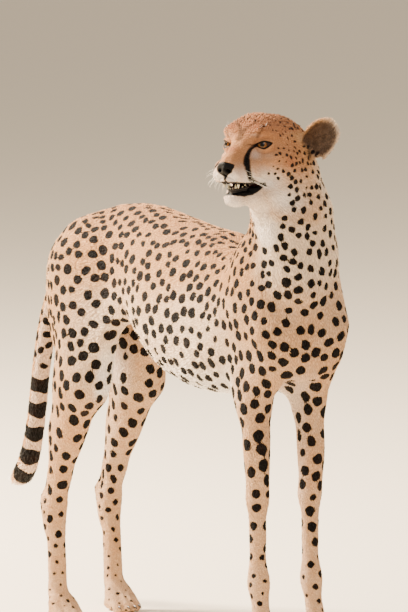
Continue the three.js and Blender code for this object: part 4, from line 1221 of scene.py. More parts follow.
    def face(self, q: Array, n: Array) -> dict[str, Array]:
        """Gives the marks of the head.

        Args:
            q: places in the head's frame.
            n: the skin's normals there, in the same frame.

        Returns:
            The numbers by the names that the materials read, without the spots.
        """
        both = folded(q)
        x, y, z = both.T
        on_head = (np.linalg.norm(q, axis=1) < 180) & (z > -120)
        gap = np.minimum(*(self.skin.lid_gap(q, side)[0] for side in SIDES.values()))
        rim = smooth(3.4, 2.0, gap)
        tear, streaks = self._lines(both)
        lips, leather = self._lips(both), self._leather(both)
        cleft = smooth(1.8, 0.7, y) * (x > 124) * (z < -36) * (z > -60)
        ears = self.ear_part(q)
        _, high, across = self._ear_lies(q)
        reach = np.hypot((high - 34.0) / 37.0, across / 27.0)
        front = smooth(-0.05, 0.25, np.abs(n[:, 1]) * 0.54 + n[:, 0] * 0.84)
        inner_ear = ears * front
        ear_back = ears * (1 - front) * smooth(14.0, 22.0, high) * smooth(70.0, 62.0, high)
        # Painted shade in the opening at each ear's root, on its inner face.
        ear_opening_shade = np.max([hill(both, at, wide) for at, wide in EAR_OPENING_SHADE], axis=0) * front
        dark = [rim, tear, lips, leather, cleft, 0.92 * ear_back, 0.95 * ear_opening_shade, 0.56 * streaks]
        white = [amount * hill(both, at, wide) for at, wide, amount in WHITE_PATCHES]
        tan = 0.40 + 0.26 * smooth(-30.0, 10.0, z) + 0.26 * smooth(20.0, 60.0, z)
        tan = tan + 0.2 * hill(both, (80, 26, 48), (22, 22, 14))
        rust = [amount * hill(both, at, wide) for at, wide, amount in RUST_PATCHES]
        rust = np.max([*rust, 0.34 * smooth(-46.0, -18.0, z) * smooth(-30.0, 10.0, x)], axis=0)
        bare = np.maximum(np.maximum(rim, lips), leather)
        upper, lower = self.places.lips(x)
        mouth_inside = (x > 50) & (x < 150) & (z <= upper + 1) & (z >= lower - 1) & (y < 27)
        mask = on_head.astype(float)
        return {
            "dark": np.max(dark, axis=0) * mask,
            "white": np.max(white, axis=0),
            "tan": tan * (1 - 0.35 * inner_ear * smooth(1.4, 1.15, reach)),
            "rust": rust * mask * (1 - ears),
            "bare": bare * mask,
            "flesh": mouth_inside * mask,
            # Painted shade in the ear's hollow, deepest at its middle.
            "ear": inner_ear * smooth(1.06, 0.84, reach),
        }

    def _lines(self, both: Array) -> tuple[Array, Array]:
        """Says where the tear lines and the streaks of the forehead are.

        Args:
            both: places in the head's frame, mirrored to the left.

        Returns:
            How far each place belongs to the first and to the second, 0 to 1.
        """
        flat = np.array([1.0, 0.6, 1.0])
        gap, share, _ = along(np.array(TEAR_LINE, float) * flat, both * flat)
        gap = gap + 20.0 * (both[:, 1] < 9.0)
        width = 1.9 + 2.3 * np.sin(np.pi * np.clip(share * 0.9 + 0.08, 0, 1))
        streaks = np.zeros(len(both))
        for line in FOREHEAD_STREAKS:
            d, t, _ = along(np.array(line, float) * flat, both * flat)
            streaks = np.maximum(streaks, smooth(4.0, 1.4, d + 1.6 * np.abs(t - 0.4)))
        return smooth(1.2, -0.8, gap - width), streaks

    def _lips(self, both: Array) -> Array:
        """Says where the black lips are.

        Args:
            both: places in the head's frame, mirrored to the left.

        Returns:
            How far each place belongs to them, 0 to 1.
        """
        x, y, z = both.T
        upper, lower = self.places.lips(x)
        corner = smooth(96.0, 70.0, x)
        above = smooth(3.6 + 1.5 * corner, 1.6, z - upper) * (z > upper - 3)
        deep = np.interp(x, *LOWER_LIP)
        below = smooth(deep, deep - 2.0, lower - z) * (z < lower + 3)
        inside = (z <= upper) & (z >= lower)
        mouth = (x > 60) & (x < 146) & (y < 44)
        return np.where(mouth, np.maximum(np.maximum(above, below), inside), 0.0)

    def _leather(self, both: Array) -> Array:
        """Says where the nose's leather is.

        Args:
            both: places in the head's frame, mirrored to the left.

        Returns:
            How far each place belongs to it, 0 to 1.
        """
        x, y, z = both.T
        nx, _, nz = self.places.nose_mm
        rise = z + 0.10 * y
        wide = np.interp(rise - nz, *NOSE_LEATHER)
        leather = smooth(0.7, -0.7, y - wide) * (x > nx - 12.0) * (z > nz - 20.0)
        return leather * smooth(nz + 9.0, nz + 7.4, rise - 0.25 * (x - nx))


# ---------- the coat
@dataclass(frozen=True)
class Nap:
    """How the fur lies round one place: its direction, its length and its lift, in millimetres."""

    at: Triple
    way: Triple
    length: float
    lift: float = 1.0


# Mirrored to the other side, in the trunk's own frame.
BODY_NAP = (
    Nap((250, 20, 775), (-1, 0, -0.3), 9.3, 1.3),
    Nap((60, 20, 780), (-1, 0, -0.05), 6.8),
    Nap((-150, 20, 785), (-1, 0, 0.05), 6.8),
    Nap((-330, 20, 770), (-1, 0, -0.3), 6.8),
    Nap((150, 100, 640), (-1, 0, -0.35), 6.5),
    Nap((-30, 95, 620), (-1, 0, -0.3), 6.5),
    Nap((-180, 85, 640), (-1, 0, -0.4), 6.5),
    Nap((100, 60, 500), (-1, 0, -0.3), 10.2, 1.5),
    Nap((-90, 50, 540), (-1, 0, -0.4), 11.0, 1.6),
    Nap((280, 95, 700), (-0.7, 0, -0.7), 6.5),
    Nap((320, 95, 590), (-0.6, 0, -0.9), 6.5),
    Nap((395, 30, 620), (0.05, 0, -1), 7.2, 1.3),
    Nap((400, 0, 720), (0.1, 0, -1), 9.3, 1.5),
    Nap((350, 70, 770), (-0.35, 0, -1), 7.2, 1.1),
    Nap((380, 30, 840), (-0.1, 0.2, -1), 6.8, 1.1),
    Nap((290, 0, 830), (-0.5, 0.1, -1), 11.0, 2.2),
    Nap((300, 10, 900), (-0.4, 0.2, -1), 10.2, 2.2),
    Nap((290, 85, 470), (-0.25, 0, -1), 6.1),
    Nap((300, 80, 350), (-0.1, 0, -1), 5.4),
    Nap((262, 70, 420), (-0.3, 0, -1), 7.2, 1.3),
    Nap((305, 75, 200), (0, 0, -1), 4.3),
    Nap((305, 70, 110), (0.2, 0, -1), 3.6),
    Nap((335, 58, 50), (1, 0, -0.5), 3.0, 0.7),
    Nap((-320, 95, 640), (-0.7, 0, -0.75), 6.5),
    Nap((-310, 100, 520), (-0.45, 0, -0.9), 6.5),
    Nap((-420, 50, 620), (-0.1, 0, -1), 7.2, 1.2),
    Nap((-380, 60, 480), (-0.2, 0, -1), 6.5, 1.1),
    Nap((-340, 95, 400), (-0.5, 0, -0.9), 5.8),
    Nap((-390, 85, 290), (-0.4, 0, -1), 5.0),
    Nap((-400, 80, 170), (0.05, 0, -1), 4.0),
    Nap((-380, 80, 50), (1, 0, -0.5), 3.0, 0.7),
    Nap((-430, 0, 690), (-0.8, 0, -0.6), 6.5),
    Nap((-490, 0, 600), (-0.4, 0, -1), 6.5),
    Nap((-535, 0, 450), (-0.25, 0, -1), 7.2, 1.2),
    Nap((-560, 0, 350), (-0.35, 0, -1), 9.3, 1.4),
    Nap((-610, 0, 255), (-0.75, 0, -0.7), 11.9, 1.9),
    Nap((-668, 6, 222), (-1, 0, -0.3), 17.0, 2.6),
)
# The same on the head, in its own frame.
HEAD_NAP = (
    Nap((132, 8, -12), (-1, 0, 0.5), 2.4, 0.6),
    Nap((108, 6, 8), (-1, 0, 0.6), 3.2, 0.6),
    Nap((92, 0, 34), (-0.7, 0, 0.8), 4.2, 0.8),
    Nap((70, 12, 66), (-1, 0, 0.5), 8.0, 2.8),
    Nap((30, 14, 76), (-1, 0, 0.05), 8.5, 2.6),
    Nap((-20, 10, 70), (-1, 0, -0.4), 7.5, 1.8),
    Nap((50, 48, 40), (-1, 0.1, 0.1), 5.0, 1.0),
    Nap((20, 56, 20), (-1, 0, -0.1), 5.5, 1.0),
    Nap((90, 30, 36), (-0.8, 0.5, 0.5), 4.0, 0.9),
    Nap((60, 50, -4), (-1, 0.2, -0.25), 4.5, 0.8),
    Nap((30, 60, -22), (-1, 0.1, -0.45), 6.5, 1.1),
    Nap((0, 60, -45), (-1, 0, -0.8), 9.0, 1.6),
    Nap((126, 16, -36), (-0.6, 0.8, -0.1), 2.6, 0.6),
    Nap((112, 28, -42), (-1, 0.4, -0.2), 3.2, 0.7),
    Nap((88, 34, -30), (-1, 0.1, -0.3), 3.8, 0.7),
    Nap((66, 38, -50), (-1, 0.1, -0.5), 5.0, 1.0),
    Nap((106, 8, -88), (-0.7, 0.2, -0.6), 4.2, 1.0),
    Nap((70, 24, -88), (-1, 0.1, -0.35), 6.0, 1.2),
    Nap((20, 40, -80), (-0.9, 0, -0.5), 8.0, 1.4),
)


# A slip has a triangle of points at its root, one at half its length, and its tip.
# For each of a slip's points: how far along the tuft it lies, and its place in the unwrapping.
SLIP_ALONG = (0, 0, 0.1, 0.5, 0.5, 0.55, 1.0)
SLIP_UNWRAPPED = ((-1, -1), (1, -1), (0, -0.6), (-1, 0.2), (1, 0.2), (0, 0.3), (0, 1))
SLIP_POINTS = len(SLIP_ALONG)


def slip_faces() -> Array:
    """Lists the triangles of one slip: its three long sides, its tip and the root's cap."""
    around = ((0, 1), (1, 2), (2, 0))
    sides = [f for a, b in around for f in ((a, b, b + 3), (a, b + 3, a + 3))]
    return np.array([*sides, *((a + 3, b + 3, 6) for a, b in around), (0, 2, 1)])


@dataclass
class Coat:
    """Tufts of fur over the whole skin, as solid slips that lie along the body and overlap."""

    places: Places
    skin: Skin
    marks: Markings
    tufts: int = 148000
    seed: int = 5
    limit: int = 19500
    ear_length_mm: float = 5.0
    sunk_mm: float = 0.5
    width_share: float = 0.13
    width_mm: float = 0.45
    patch_uv: float = 0.003
    co: Array = field(init=False)
    n: Array = field(init=False)
    tri: Array = field(init=False)
    tri_uv: Array = field(init=False)

    def build(self) -> list[bpy.types.Object]:
        """Makes the coat.

        Returns:
            Its pieces, each with no more tufts than the limit.
        """
        self._read_skin()
        roots = self._roots()
        pieces = []
        for name, inside in self._regions(roots["at"]):
            for i in range(0, len(inside), self.limit):
                part = inside[i : i + self.limit]
                number = i // self.limit + 1
                label = f"fur_{name}_{number}" if len(inside) > self.limit else f"fur_{name}"
                pieces.append(self._slips(label, {k: v[part] for k, v in roots.items()}))
                log.info("%s: %d tufts", label, len(part))
        return pieces

    def _read_skin(self) -> None:
        """Reads the skin's triangles, normals and unwrapping."""
        mesh = self.skin.obj.data
        self.tri = triangles(mesh)
        loops = rows_of(mesh.loop_triangles, "loops", 3, np.int32)
        self.tri_uv = rows_of(mesh.uv_layers["OFBake"].data, "uv", 2)[loops]
        self.co, self.n = points(self.skin.obj), normals(self.skin.obj)

    def nap(self, co: Array, n: Array) -> tuple[Array, Array, Array]:
        """Gives the fur's direction along the skin, its length and its lift.

        Args:
            co: the places, in the row's frame.
            n: the skin's normals there.

        Returns:
            Unit directions, lengths in millimetres, and lifts.
        """
        b, q = self.places.to_body(co), self.places.to_head(co)
        turn = self.places.head.turn()
        guides = []
        for s in SIDES.values():
            flip = np.array([1.0, s, 1.0])
            guides += [(flip * g.at, flip * unit(np.array(g.way)), g) for g in BODY_NAP]
            for g in HEAD_NAP:
                at = self.places.to_body(self.places.from_head(flip * g.at))
                guides.append((at, turn @ (flip * unit(np.array(g.way))), g))
        way = np.zeros((len(b), 3))
        length, lift, total = np.zeros(len(b)), np.zeros(len(b)), np.zeros(len(b))
        for at, direction, g in guides:
            w = 1.0 / (((b - at) ** 2).sum(1) + 120.0) ** 2
            way += w[:, None] * direction
            length += w * g.length
            lift += w * g.lift
            total += w
        length, lift = length / total, lift / total
        ears = self.marks.ear_part(q)
        side = np.where(q[:, 1] >= 0, 1.0, -1.0)
        up = np.array(self.places.ear_up)
        ear_way = (up * np.stack([np.ones(len(q)), side, np.ones(len(q))], 1)) @ turn.T
        way = unit(way) * (1 - ears)[:, None] + ear_way * ears[:, None]
        length = length * (1 - ears) + self.ear_length_mm * ears
        length *= 1.0 - 0.55 * smooth(34.0, 22.0, self.skin.eye_gap(q))
        way = way - n * (way * n).sum(1, keepdims=True)
        return unit(way), length, lift

    def _roots(self) -> dict[str, Array]:
        """Chooses where the tufts grow, and reads the skin there.

        Returns:
            The roots' places, directions, sizes and marks, by name.
        """
        centre = self.co[self.tri].mean(1)
        facing = unit(self.n[self.tri].mean(1))
        _, length, _ = self.nap(centre, facing)
        marks = self.marks.face(self.places.to_head(centre), facing @ self.places.head.turn())
        grown = (marks["bare"] < 0.35) & (marks["flesh"] < 0.5) & (centre[:, 2] > 0.004)
        grown &= ~((centre[:, 2] < 0.02) & (facing[:, 2] < -0.5))
        share = areas(self.co, self.tri) * grown / np.maximum(length, 2.6) ** 1.1
        total = np.cumsum(share)
        chance = np.random.default_rng(self.seed)
        steps = (np.arange(self.tufts) + chance.random(self.tufts)) / self.tufts * total[-1]
        face = np.minimum(np.searchsorted(total, steps), len(share) - 1)
        r, t = np.sqrt(chance.random(self.tufts)), chance.random(self.tufts)
        weight = np.stack([1 - r, r * (1 - t), r * t], 1)
        corners = self.tri[face]
        at = (self.co[corners] * weight[:, :, None]).sum(1)
        n = unit((self.n[corners] * weight[:, :, None]).sum(1))
        way, length, lift = self.nap(at, n)
        uv = (self.tri_uv[face] * weight[:, :, None]).sum(1)
        turn = chance.normal(0.0, 0.2, self.tufts)[:, None]
        way = unit(way * np.cos(turn) + np.cross(n, way) * np.sin(turn))
        roots = {"at": at, "n": n, "way": way, "uv": uv, "lift": lift}
        roots["length"] = length * np.clip(chance.normal(1.0, 0.16, self.tufts), 0.6, 1.5)
        roots["strand"] = chance.random(self.tufts)
        roots["turn"] = chance.normal(0.0, 0.18, self.tufts)
        roots.update(self.marks.fields(at, n))
        reach = (roots["length"] * MM)[:, None] * way
        turned = n @ self.places.head.turn()
        for stage, part in (("_middle", 0.5), ("_tip", 1.0)):
            further = at + reach * part
            roots["spot" + stage] = self.marks.spots(further)
            roots["dark" + stage] = self.marks.face(self.places.to_head(further), turned)["dark"]
        return roots

    def _regions(self, at: Array) -> list[tuple[str, Array]]:
        """Sorts the tufts into the coat's pieces.

        Args:
            at: the tufts' roots, in the row's frame.

        Returns:
            Each region's name and the numbers of its tufts.
        """
        b, q = self.places.to_body(at), self.places.to_head(at)
        gap, _, _ = along(self.places.tail(), b)
        head = np.linalg.norm(q - np.array([20.0, 0, 0]), axis=1) < 135
        head &= q[:, 0] * 0.814 + (q[:, 2] + 17) * 0.58 > -22
        tail = (b[:, 0] < -430) & (gap < 60) & ~head
        neck = (b[:, 0] * 0.3 + b[:, 2] * 0.95 > 763.5) & (b[:, 0] > 180) & ~head
        rest = ~(head | tail | neck)
        legs = rest & (b[:, 2] < 500) & ((b[:, 0] > 220) | (b[:, 0] < -230))
        groups = {
            "head": head,
            "neck": neck,
            "tail": tail,
            "forelegs": legs & (b[:, 0] > 0),
            "hindlegs": legs & (b[:, 0] < 0),
            "shoulders": rest & ~legs & (b[:, 0] > 150),
            "flanks": rest & ~legs & (b[:, 0] <= 150) & (b[:, 0] > -190),
            "rump": rest & ~legs & (b[:, 0] <= -190),
        }
        return [(name, np.nonzero(inside)[0]) for name, inside in groups.items()]

    def _slips(self, name: str, r: dict[str, Array]) -> bpy.types.Object:
        """Makes one piece of the coat.

        Args:
            name: the piece's name.
            r: the roots and all that is known at each.

        Returns:
            The piece, each tuft a closed slip of seven points.
        """
        p, n, t = r["at"], r["n"], r["way"]
        side = np.cross(n, t)
        length = (r["length"] * MM)[:, None]
        width = length * self.width_share + self.width_mm * MM
        thick = width * 0.3
        rise = (r["lift"] * MM)[:, None] * (0.4 + 0.7 * r["strand"][:, None])
        bend = side * (r["turn"][:, None] * length)
        low = p - n * self.sunk_mm * MM
        middle = p + t * length * 0.5 + n * rise * 0.75 + bend * 0.25
        tip = p + t * length + n * rise * 1.35 + bend
        half = side * width / 2
        root = [low - half * 0.84, low + half * 0.84, low + n * (thick + self.sunk_mm * MM)]
        waist = [middle - half, middle + half, middle + n * thick]
        slip = np.stack([*root, *waist, tip], 1)
        slip[:, :, 2] = np.maximum(slip[:, :, 2], FUR_FLOOR_MM * MM)
        first = SLIP_POINTS * np.arange(len(p))[:, None, None]
        faces = (slip_faces()[None] + first).reshape(-1, 3)
        obj = mesh_from(name, slip.reshape(-1, 3), faces)
        only(obj)
        for key in ("tan", "white", "bare", "rust", "flesh", "ear", "strand"):
            add_attribute(obj, key, np.repeat(r[key], SLIP_POINTS))
        for key in ("spot", "dark"):
            stages = [r[key]] * 3 + [r[key + "_middle"]] * 3 + [r[key + "_tip"]]
            add_attribute(obj, key, np.stack(stages, 1).ravel())
        add_attribute(obj, "along", np.tile(np.array(SLIP_ALONG), len(p)))
        uv = r["uv"][:, None, :] + np.array(SLIP_UNWRAPPED)[None] * self.patch_uv / 2
        layer = obj.data.uv_layers.new(name="OFBake")
        layer.data.foreach_set("uv", uv.reshape(-1, 2)[faces.ravel()].astype(np.float32).ravel())
        obj.data.shade_smooth()
        return obj


# ---------- finishes
class Blend(Enum):
    """The ways in which two colours are mixed."""

    PLAIN = "MIX"
    DARKEN = "MULTIPLY"
    SOFT = "SOFT_LIGHT"


class Signal:
    """A value or colour that flows between nodes, which Python's operators work on."""

    def __init__(self, paint: "Paint", socket: bpy.types.NodeSocket) -> None:
        """Wraps one output socket of a material's nodes."""
        self.paint = paint
        self.socket = socket

    def _maths(self, kind: str, first: Any, second: Any) -> "Signal":
        """Adds one Math node."""
        return self.paint.node("ShaderNodeMath", {"operation": kind}, {0: first, 1: second})

    def __add__(self, other: "Signal | float") -> "Signal":
        """Adds."""
        return self._maths("ADD", self, other)

    __radd__ = __add__

    def __mul__(self, other: "Signal | float") -> "Signal":
        """Multiplies."""
        return self._maths("MULTIPLY", self, other)

    __rmul__ = __mul__

    def __sub__(self, other: "Signal | float") -> "Signal":
        """Takes the other away."""
        return self._maths("SUBTRACT", self, other)

    def __rsub__(self, other: float) -> "Signal":
        """Takes this away from a number."""
        return self._maths("SUBTRACT", other, self)

    def highest(self, other: "Signal | float") -> "Signal":
        """Takes the larger of the two."""
        return self._maths("MAXIMUM", self, other)

    def step(self, low: float, high: float) -> "Signal":
        """Rises or falls smoothly.

        Args:
            low: the value where the result is 0.
            high: the value where it is 1, which may be the smaller.

        Returns:
            The result, 0 to 1.
        """
        if low > high:
            return 1.0 - self.step(high, low)
        values = {"Value": self, "From Min": low, "From Max": high}
        return self.paint.node("ShaderNodeMapRange", {"interpolation_type": "SMOOTHSTEP"}, values)


class Paint:
    """One material, built node by node."""

    def __init__(self, name: str) -> None:
        """Starts a material with its one shader."""
        self.material = bpy.data.materials.new(name)
        self.material.use_nodes = True
        self.tree = self.material.node_tree
        self.shader = self.tree.nodes["Principled BSDF"]

    def node(
        self,
        kind: str,
        settings: dict[str, Any] | None = None,
        values: dict[Any, Any] | None = None,
        out: int | str = 0,
    ) -> Signal:
        """Adds a node.

        Args:
            kind: the node's type.
            settings: its own settings, which are made first.
            values: numbers, colours or signals for its inputs, by name or number.
            out: the output wanted, by name or number.

        Returns:
            That output.
        """
        made = self.tree.nodes.new(kind)
        for key, value in (settings or {}).items():
            setattr(made, key, value)
        for key, value in (values or {}).items():
            self.join(made.inputs[key], value)
        return Signal(self, made.outputs[out])

    def join(self, socket: bpy.types.NodeSocket, value: Any) -> None:
        """Links a signal to a socket, or sets a number or colour on it."""
        if isinstance(value, Signal):
            self.tree.links.new(value.socket, socket)
        else:
            socket.default_value = value

    def dress(self, **values: Any) -> None:
        """Sets the shader's inputs, named with underscores for spaces."""
        for key, value in values.items():
            self.join(self.shader.inputs[key.replace("_", " ")], value)

    def read(self, name: str) -> Signal:
        """Reads a number stored on the mesh."""
        return self.node("ShaderNodeAttribute", {"attribute_name": name}, out="Fac")

    def place(self) -> Signal:
        """Gives the place on the object."""
        return self.node("ShaderNodeTexCoord", out="Object")

    def noise(self, scale: float, detail: float = 3.0, at: Signal | None = None) -> Signal:
        """Gives a cloudy pattern about 0.5."""
        values = {"Vector": at or self.place(), "Scale": scale, "Detail": detail}
        return self.node("ShaderNodeTexNoise", {}, values)

    def mix(
        self, share: Any, first: Signal | str, second: Signal | str, kind: Blend = Blend.PLAIN
    ) -> Signal:
        """Mixes two colours, each a signal or six hexadecimal digits.

        Args:
            share: how much of the second there is, 0 to 1.
            first: the colour below.
            second: the colour over it.
            kind: the way of mixing.

        Returns:
            The mixed colour.
        """
        made = self.tree.nodes.new("ShaderNodeMix")
        made.data_type, made.blend_type = "RGBA", kind.value
        colours = [s for s in made.inputs if s.type == "RGBA"]
        self.join(made.inputs[0], share)
        for socket, value in zip(colours, (first, second)):
            self.join(socket, colour(value) if isinstance(value, str) else value)
        return Signal(self, next(s for s in made.outputs if s.type == "RGBA"))

    def bump(self, height: Signal, strength: float, distance: float) -> Signal:
        """Turns heights into a change of the surface's direction."""
        values = {"Height": height, "Strength": strength, "Distance": distance}
        return self.node("ShaderNodeBump", {}, values)


@dataclass(frozen=True)
class FurPaint:
    """The coat's colours, the same on the skin and on the tufts over it but for painted light and
    shade.
    """

    tan: str = "c9996b"
    gold: str = "9c6c48"
    cream: str = "efd9bf"
    white: str = "faf4ec"
    spot: str = "0b0706"
    brown: str = "2a1810"
    rust: str = "9a4c33"
    leather: str = "070606"
    flesh: str = "2a1114"
    # Painted shade in the hollow of the ear.
    ear: str = "4f3a2e"
    # Painted shade: the darker colour of the skin in the shade under the tufts.
    under: str = "6b4a33"
    # Painted highlight on the tufts' tips.
    painted_tip_light: str = "fbe9cf"
    # Painted shade at the tufts' roots.
    shadow: str = "8a6a50"
    soft_mm: float = 0.9

    def _coat(self, paint: Paint, deep: float) -> tuple[Signal, Signal]:
        """Mixes the coat's colour.

        Args:
            paint: the material.
            deep: the share of painted shade, which makes the colour darker than at the tips of the
                fur.

        Returns:
            The colour, and how far it is a spot or other black mark.
        """
        cloud, fine = paint.noise(9.0, 4.0), paint.noise(160.0, 3.0)
        tan = paint.read("tan") + (cloud - 0.5) * 0.35 + (fine - 0.5) * 0.25
        ground = paint.mix(tan.step(0.0, 0.55), self.cream, self.tan)
        ground = paint.mix(tan.step(0.5, 1.15), ground, self.gold)
        stain = paint.read("rust") * (0.55 + 0.5 * paint.noise(60.0, 4.0))
        ground = paint.mix(stain, ground, self.rust)
        ground = paint.mix(paint.read("white"), ground, self.white)
        # Painted shade in the ear's hollow: its inner face darkens towards the middle, to a mottled
        # dark brown.
        inner = paint.mix(fine.step(0.3, 0.7), self.ear, self.brown)
        ground = paint.mix(paint.read("ear") * 0.9, ground, inner)
        edge = paint.read("spot") + (paint.noise(420.0, 2.0) - 0.5) * 1.4
        spot = edge.step(self.soft_mm, -self.soft_mm)
        black = spot.highest(paint.read("dark"))
        mark = paint.mix(paint.noise(30.0, 2.0).step(0.45, 0.8) * 0.5, self.spot, self.brown)
        shade = paint.mix(black, ground, mark)
        # Painted shade: the colour darkened by the share deep, towards the shade under the fur.
        return paint.mix(deep, shade, self.under, Blend.DARKEN), black

    def skin(self) -> bpy.types.Material:
        """Makes the skin's finish.

        Returns:
            A material with flat fur as bump, painted shade under the tufts, wet leather and the
            mouth's lining.
        """
        paint = Paint("coat_skin")
        # The skin under the tufts gets painted shade, a quarter of the way darker.
        shade, _ = self._coat(paint, 0.25)
        bare, flesh = paint.read("bare"), paint.read("flesh")
        shade = paint.mix(bare, shade, self.leather)
        shade = paint.mix(flesh, shade, self.flesh)
        hair = paint.noise(900.0, 3.0) + paint.noise(300.0, 4.0) * 0.7
        pores = paint.node(
            "ShaderNodeTexVoronoi", {"feature": "F1"}, {"Vector": paint.place(), "Scale": 900.0}
        )
        height = hair * (1.0 - bare) + pores * bare * 0.6
        wet = bare.highest(flesh)
        paint.dress(
            Base_Color=shade,
            Roughness=0.82 - wet * 0.34,
            Normal=paint.bump(height, 0.5, 0.0012),
            Specular_IOR_Level=0.1,
        )
        return paint.material

    def tufts(self) -> bpy.types.Material:
        """Makes the tufts' finish.

        Returns:
            A material with a painted highlight that grows paler towards the tips, and painted shade
            at the roots.
        """
        paint = Paint("coat_fur")
        shade, black = self._coat(paint, 0.0)
        # Painted highlight that makes each tuft paler towards its tip, except on black marks, and
        # painted shade that darkens its root.
        tip = paint.read("along").step(0.3, 1.0) * (0.35 + 0.35 * paint.read("strand"))
        highlighted_tips = paint.mix(tip * (1.0 - black), shade, self.painted_tip_light, Blend.SOFT)
        root = (1.0 - paint.read("along")).step(0.45, 1.0) * 0.45
        shade = paint.mix(root, highlighted_tips, self.shadow, Blend.DARKEN)
        value = 0.86 + 0.28 * paint.read("strand")
        varied = paint.node(
            "ShaderNodeHueSaturation", {}, {"Color": shade, "Value": value, "Saturation": 1.0}
        )
        rough = 0.7 + 0.1 * paint.read("strand")
        paint.dress(Base_Color=varied, Roughness=rough, Specular_IOR_Level=0.22)
        return paint.material


@dataclass(frozen=True)
class EyePaint:
    """A wet amber eye with a round black pupil."""

    amber: str = "54300f"
    honey: str = "835522"
    bark: str = "241006"
    white: str = "2c1b16"
    pupil: str = "020202"

    def material(self) -> bpy.types.Material:
        """Makes the eye's finish.

        Returns:
            A material that reads the distance to the eye's axis from the mesh.
        """
        paint = Paint("eye_glass")
        ring, spoke = paint.read("ring"), paint.read("spoke")
        at = paint.node("ShaderNodeCombineXYZ", {}, {"X": spoke * 9.0, "Y": ring * 0.35, "Z": 0.0})
        rays = paint.noise(3.0, 4.0, at)
        iris = paint.mix(rays.step(0.35, 0.7), self.amber, self.honey)
        iris = paint.mix(ring.step(6.2, 8.8), iris, self.bark)
        iris = paint.mix(ring.step(4.6, 3.4), iris, self.bark)
        shade = paint.mix(ring.step(8.6, 9.4), iris, self.white)
        shade = paint.mix(ring.step(3.5, 3.0), shade, self.pupil)
        paint.dress(Base_Color=shade, Roughness=0.05, Specular_IOR_Level=0.28)
        return paint.material


@dataclass(frozen=True)
class HornPaint:
    """A hard finish for teeth and claws: one colour at the root, another at the tip."""

    name: str
    root: str
    tip: str
    shine: float = 0.3

    def material(self) -> bpy.types.Material:
        """Makes the finish.

        Returns:
            A material that reads the share of the piece's length from the mesh.
        """
        paint = Paint(self.name)
        share = paint.read("share") + (paint.noise(500.0, 3.0) - 0.5) * 0.3
        shade = paint.mix(share.step(0.25, 0.75), self.root, self.tip)
        shade = paint.mix(paint.noise(1500.0, 2.0).step(0.4, 0.9) * 0.25, shade, self.root)
        grain = paint.noise(1200.0, 2.0)
        rough = self.shine + 0.15 * grain + (1.0 - share.step(0.2, 0.6)) * 0.3
        normal = paint.bump(grain, 0.2, 0.0004)
        paint.dress(Base_Color=shade, Roughness=rough, Normal=normal)
        return paint.material


@dataclass(frozen=True)
class TonguePaint:
    """A moist pink tongue covered with small points."""

    shade: str = "8c4046"
    deep: str = "5e262c"

    def material(self) -> bpy.types.Material:
        """Makes the finish."""
        paint = Paint("tongue_skin")
        buds = paint.node("ShaderNodeTexVoronoi", {}, {"Vector": paint.place(), "Scale": 700.0})
        shade = paint.mix(paint.noise(120.0), self.shade, self.deep)
        normal = paint.bump(1.0 - buds, 0.6, 0.0006)
        paint.dress(Base_Color=shade, Roughness=0.35 + buds * 0.2, Normal=normal)
        return paint.material


# ---------- eyes, teeth, claws and whiskers
@dataclass
class Eyes:
    """The two eyes, each a ball with a clear bulge over its iris."""

    skin: Skin
    iris_mm: float = 9.0
    bulge_mm: float = 1.0
    glance: Triple = (0.10, -0.10, -0.08)
    segments: int = 64
    rings: int = 48

    def build(self) -> list[bpy.types.Object]:
        """Makes both eyes."""
        return [self._eye(name, side) for name, side in SIDES.items()]

    def _eye(self, name: str, side: float) -> bpy.types.Object:
        """Makes one eye, its pole turned outwards.

        Args:
            name: the side's name.
            side: 1 on the left and -1 on the right.

        Returns:
            The eye, with the distance to its axis stored on it.
        """
        places = self.skin.places
        middle, out, _, _ = self.skin.eye_axes(side)
        look = unit(out + np.array([1.0, side, 1.0]) * self.glance)
        bpy.ops.object.select_all(action="DESELECT")
        r = places.eye_radius_mm * places.head.scale * MM
        bpy.ops.mesh.primitive_uv_sphere_add(
            segments=self.segments, ring_count=self.rings, radius=r
        )
        obj = bpy.context.object
        obj.name = obj.data.name = f"eyeball_{name}"
        co = points(obj)
        angle = np.arccos(np.clip(co[:, 2] / r, -1, 1))
        ring = angle * places.eye_radius_mm
        co *= 1.0 + (self.bulge_mm * MM / r) * smooth(self.iris_mm + 1.0, 0.0, ring)[:, None]
        spoke = np.arctan2(co[:, 1], co[:, 0])
        turn = np.array(Vector(places.head_way(look)).to_track_quat("Z", "Y").to_matrix())
        put_points(obj, co @ turn.T + places.from_head(middle))
        add_attribute(obj, "ring", ring)
        add_attribute(obj, "spoke", np.abs(spoke))
        obj.data.shade_smooth()
        return obj


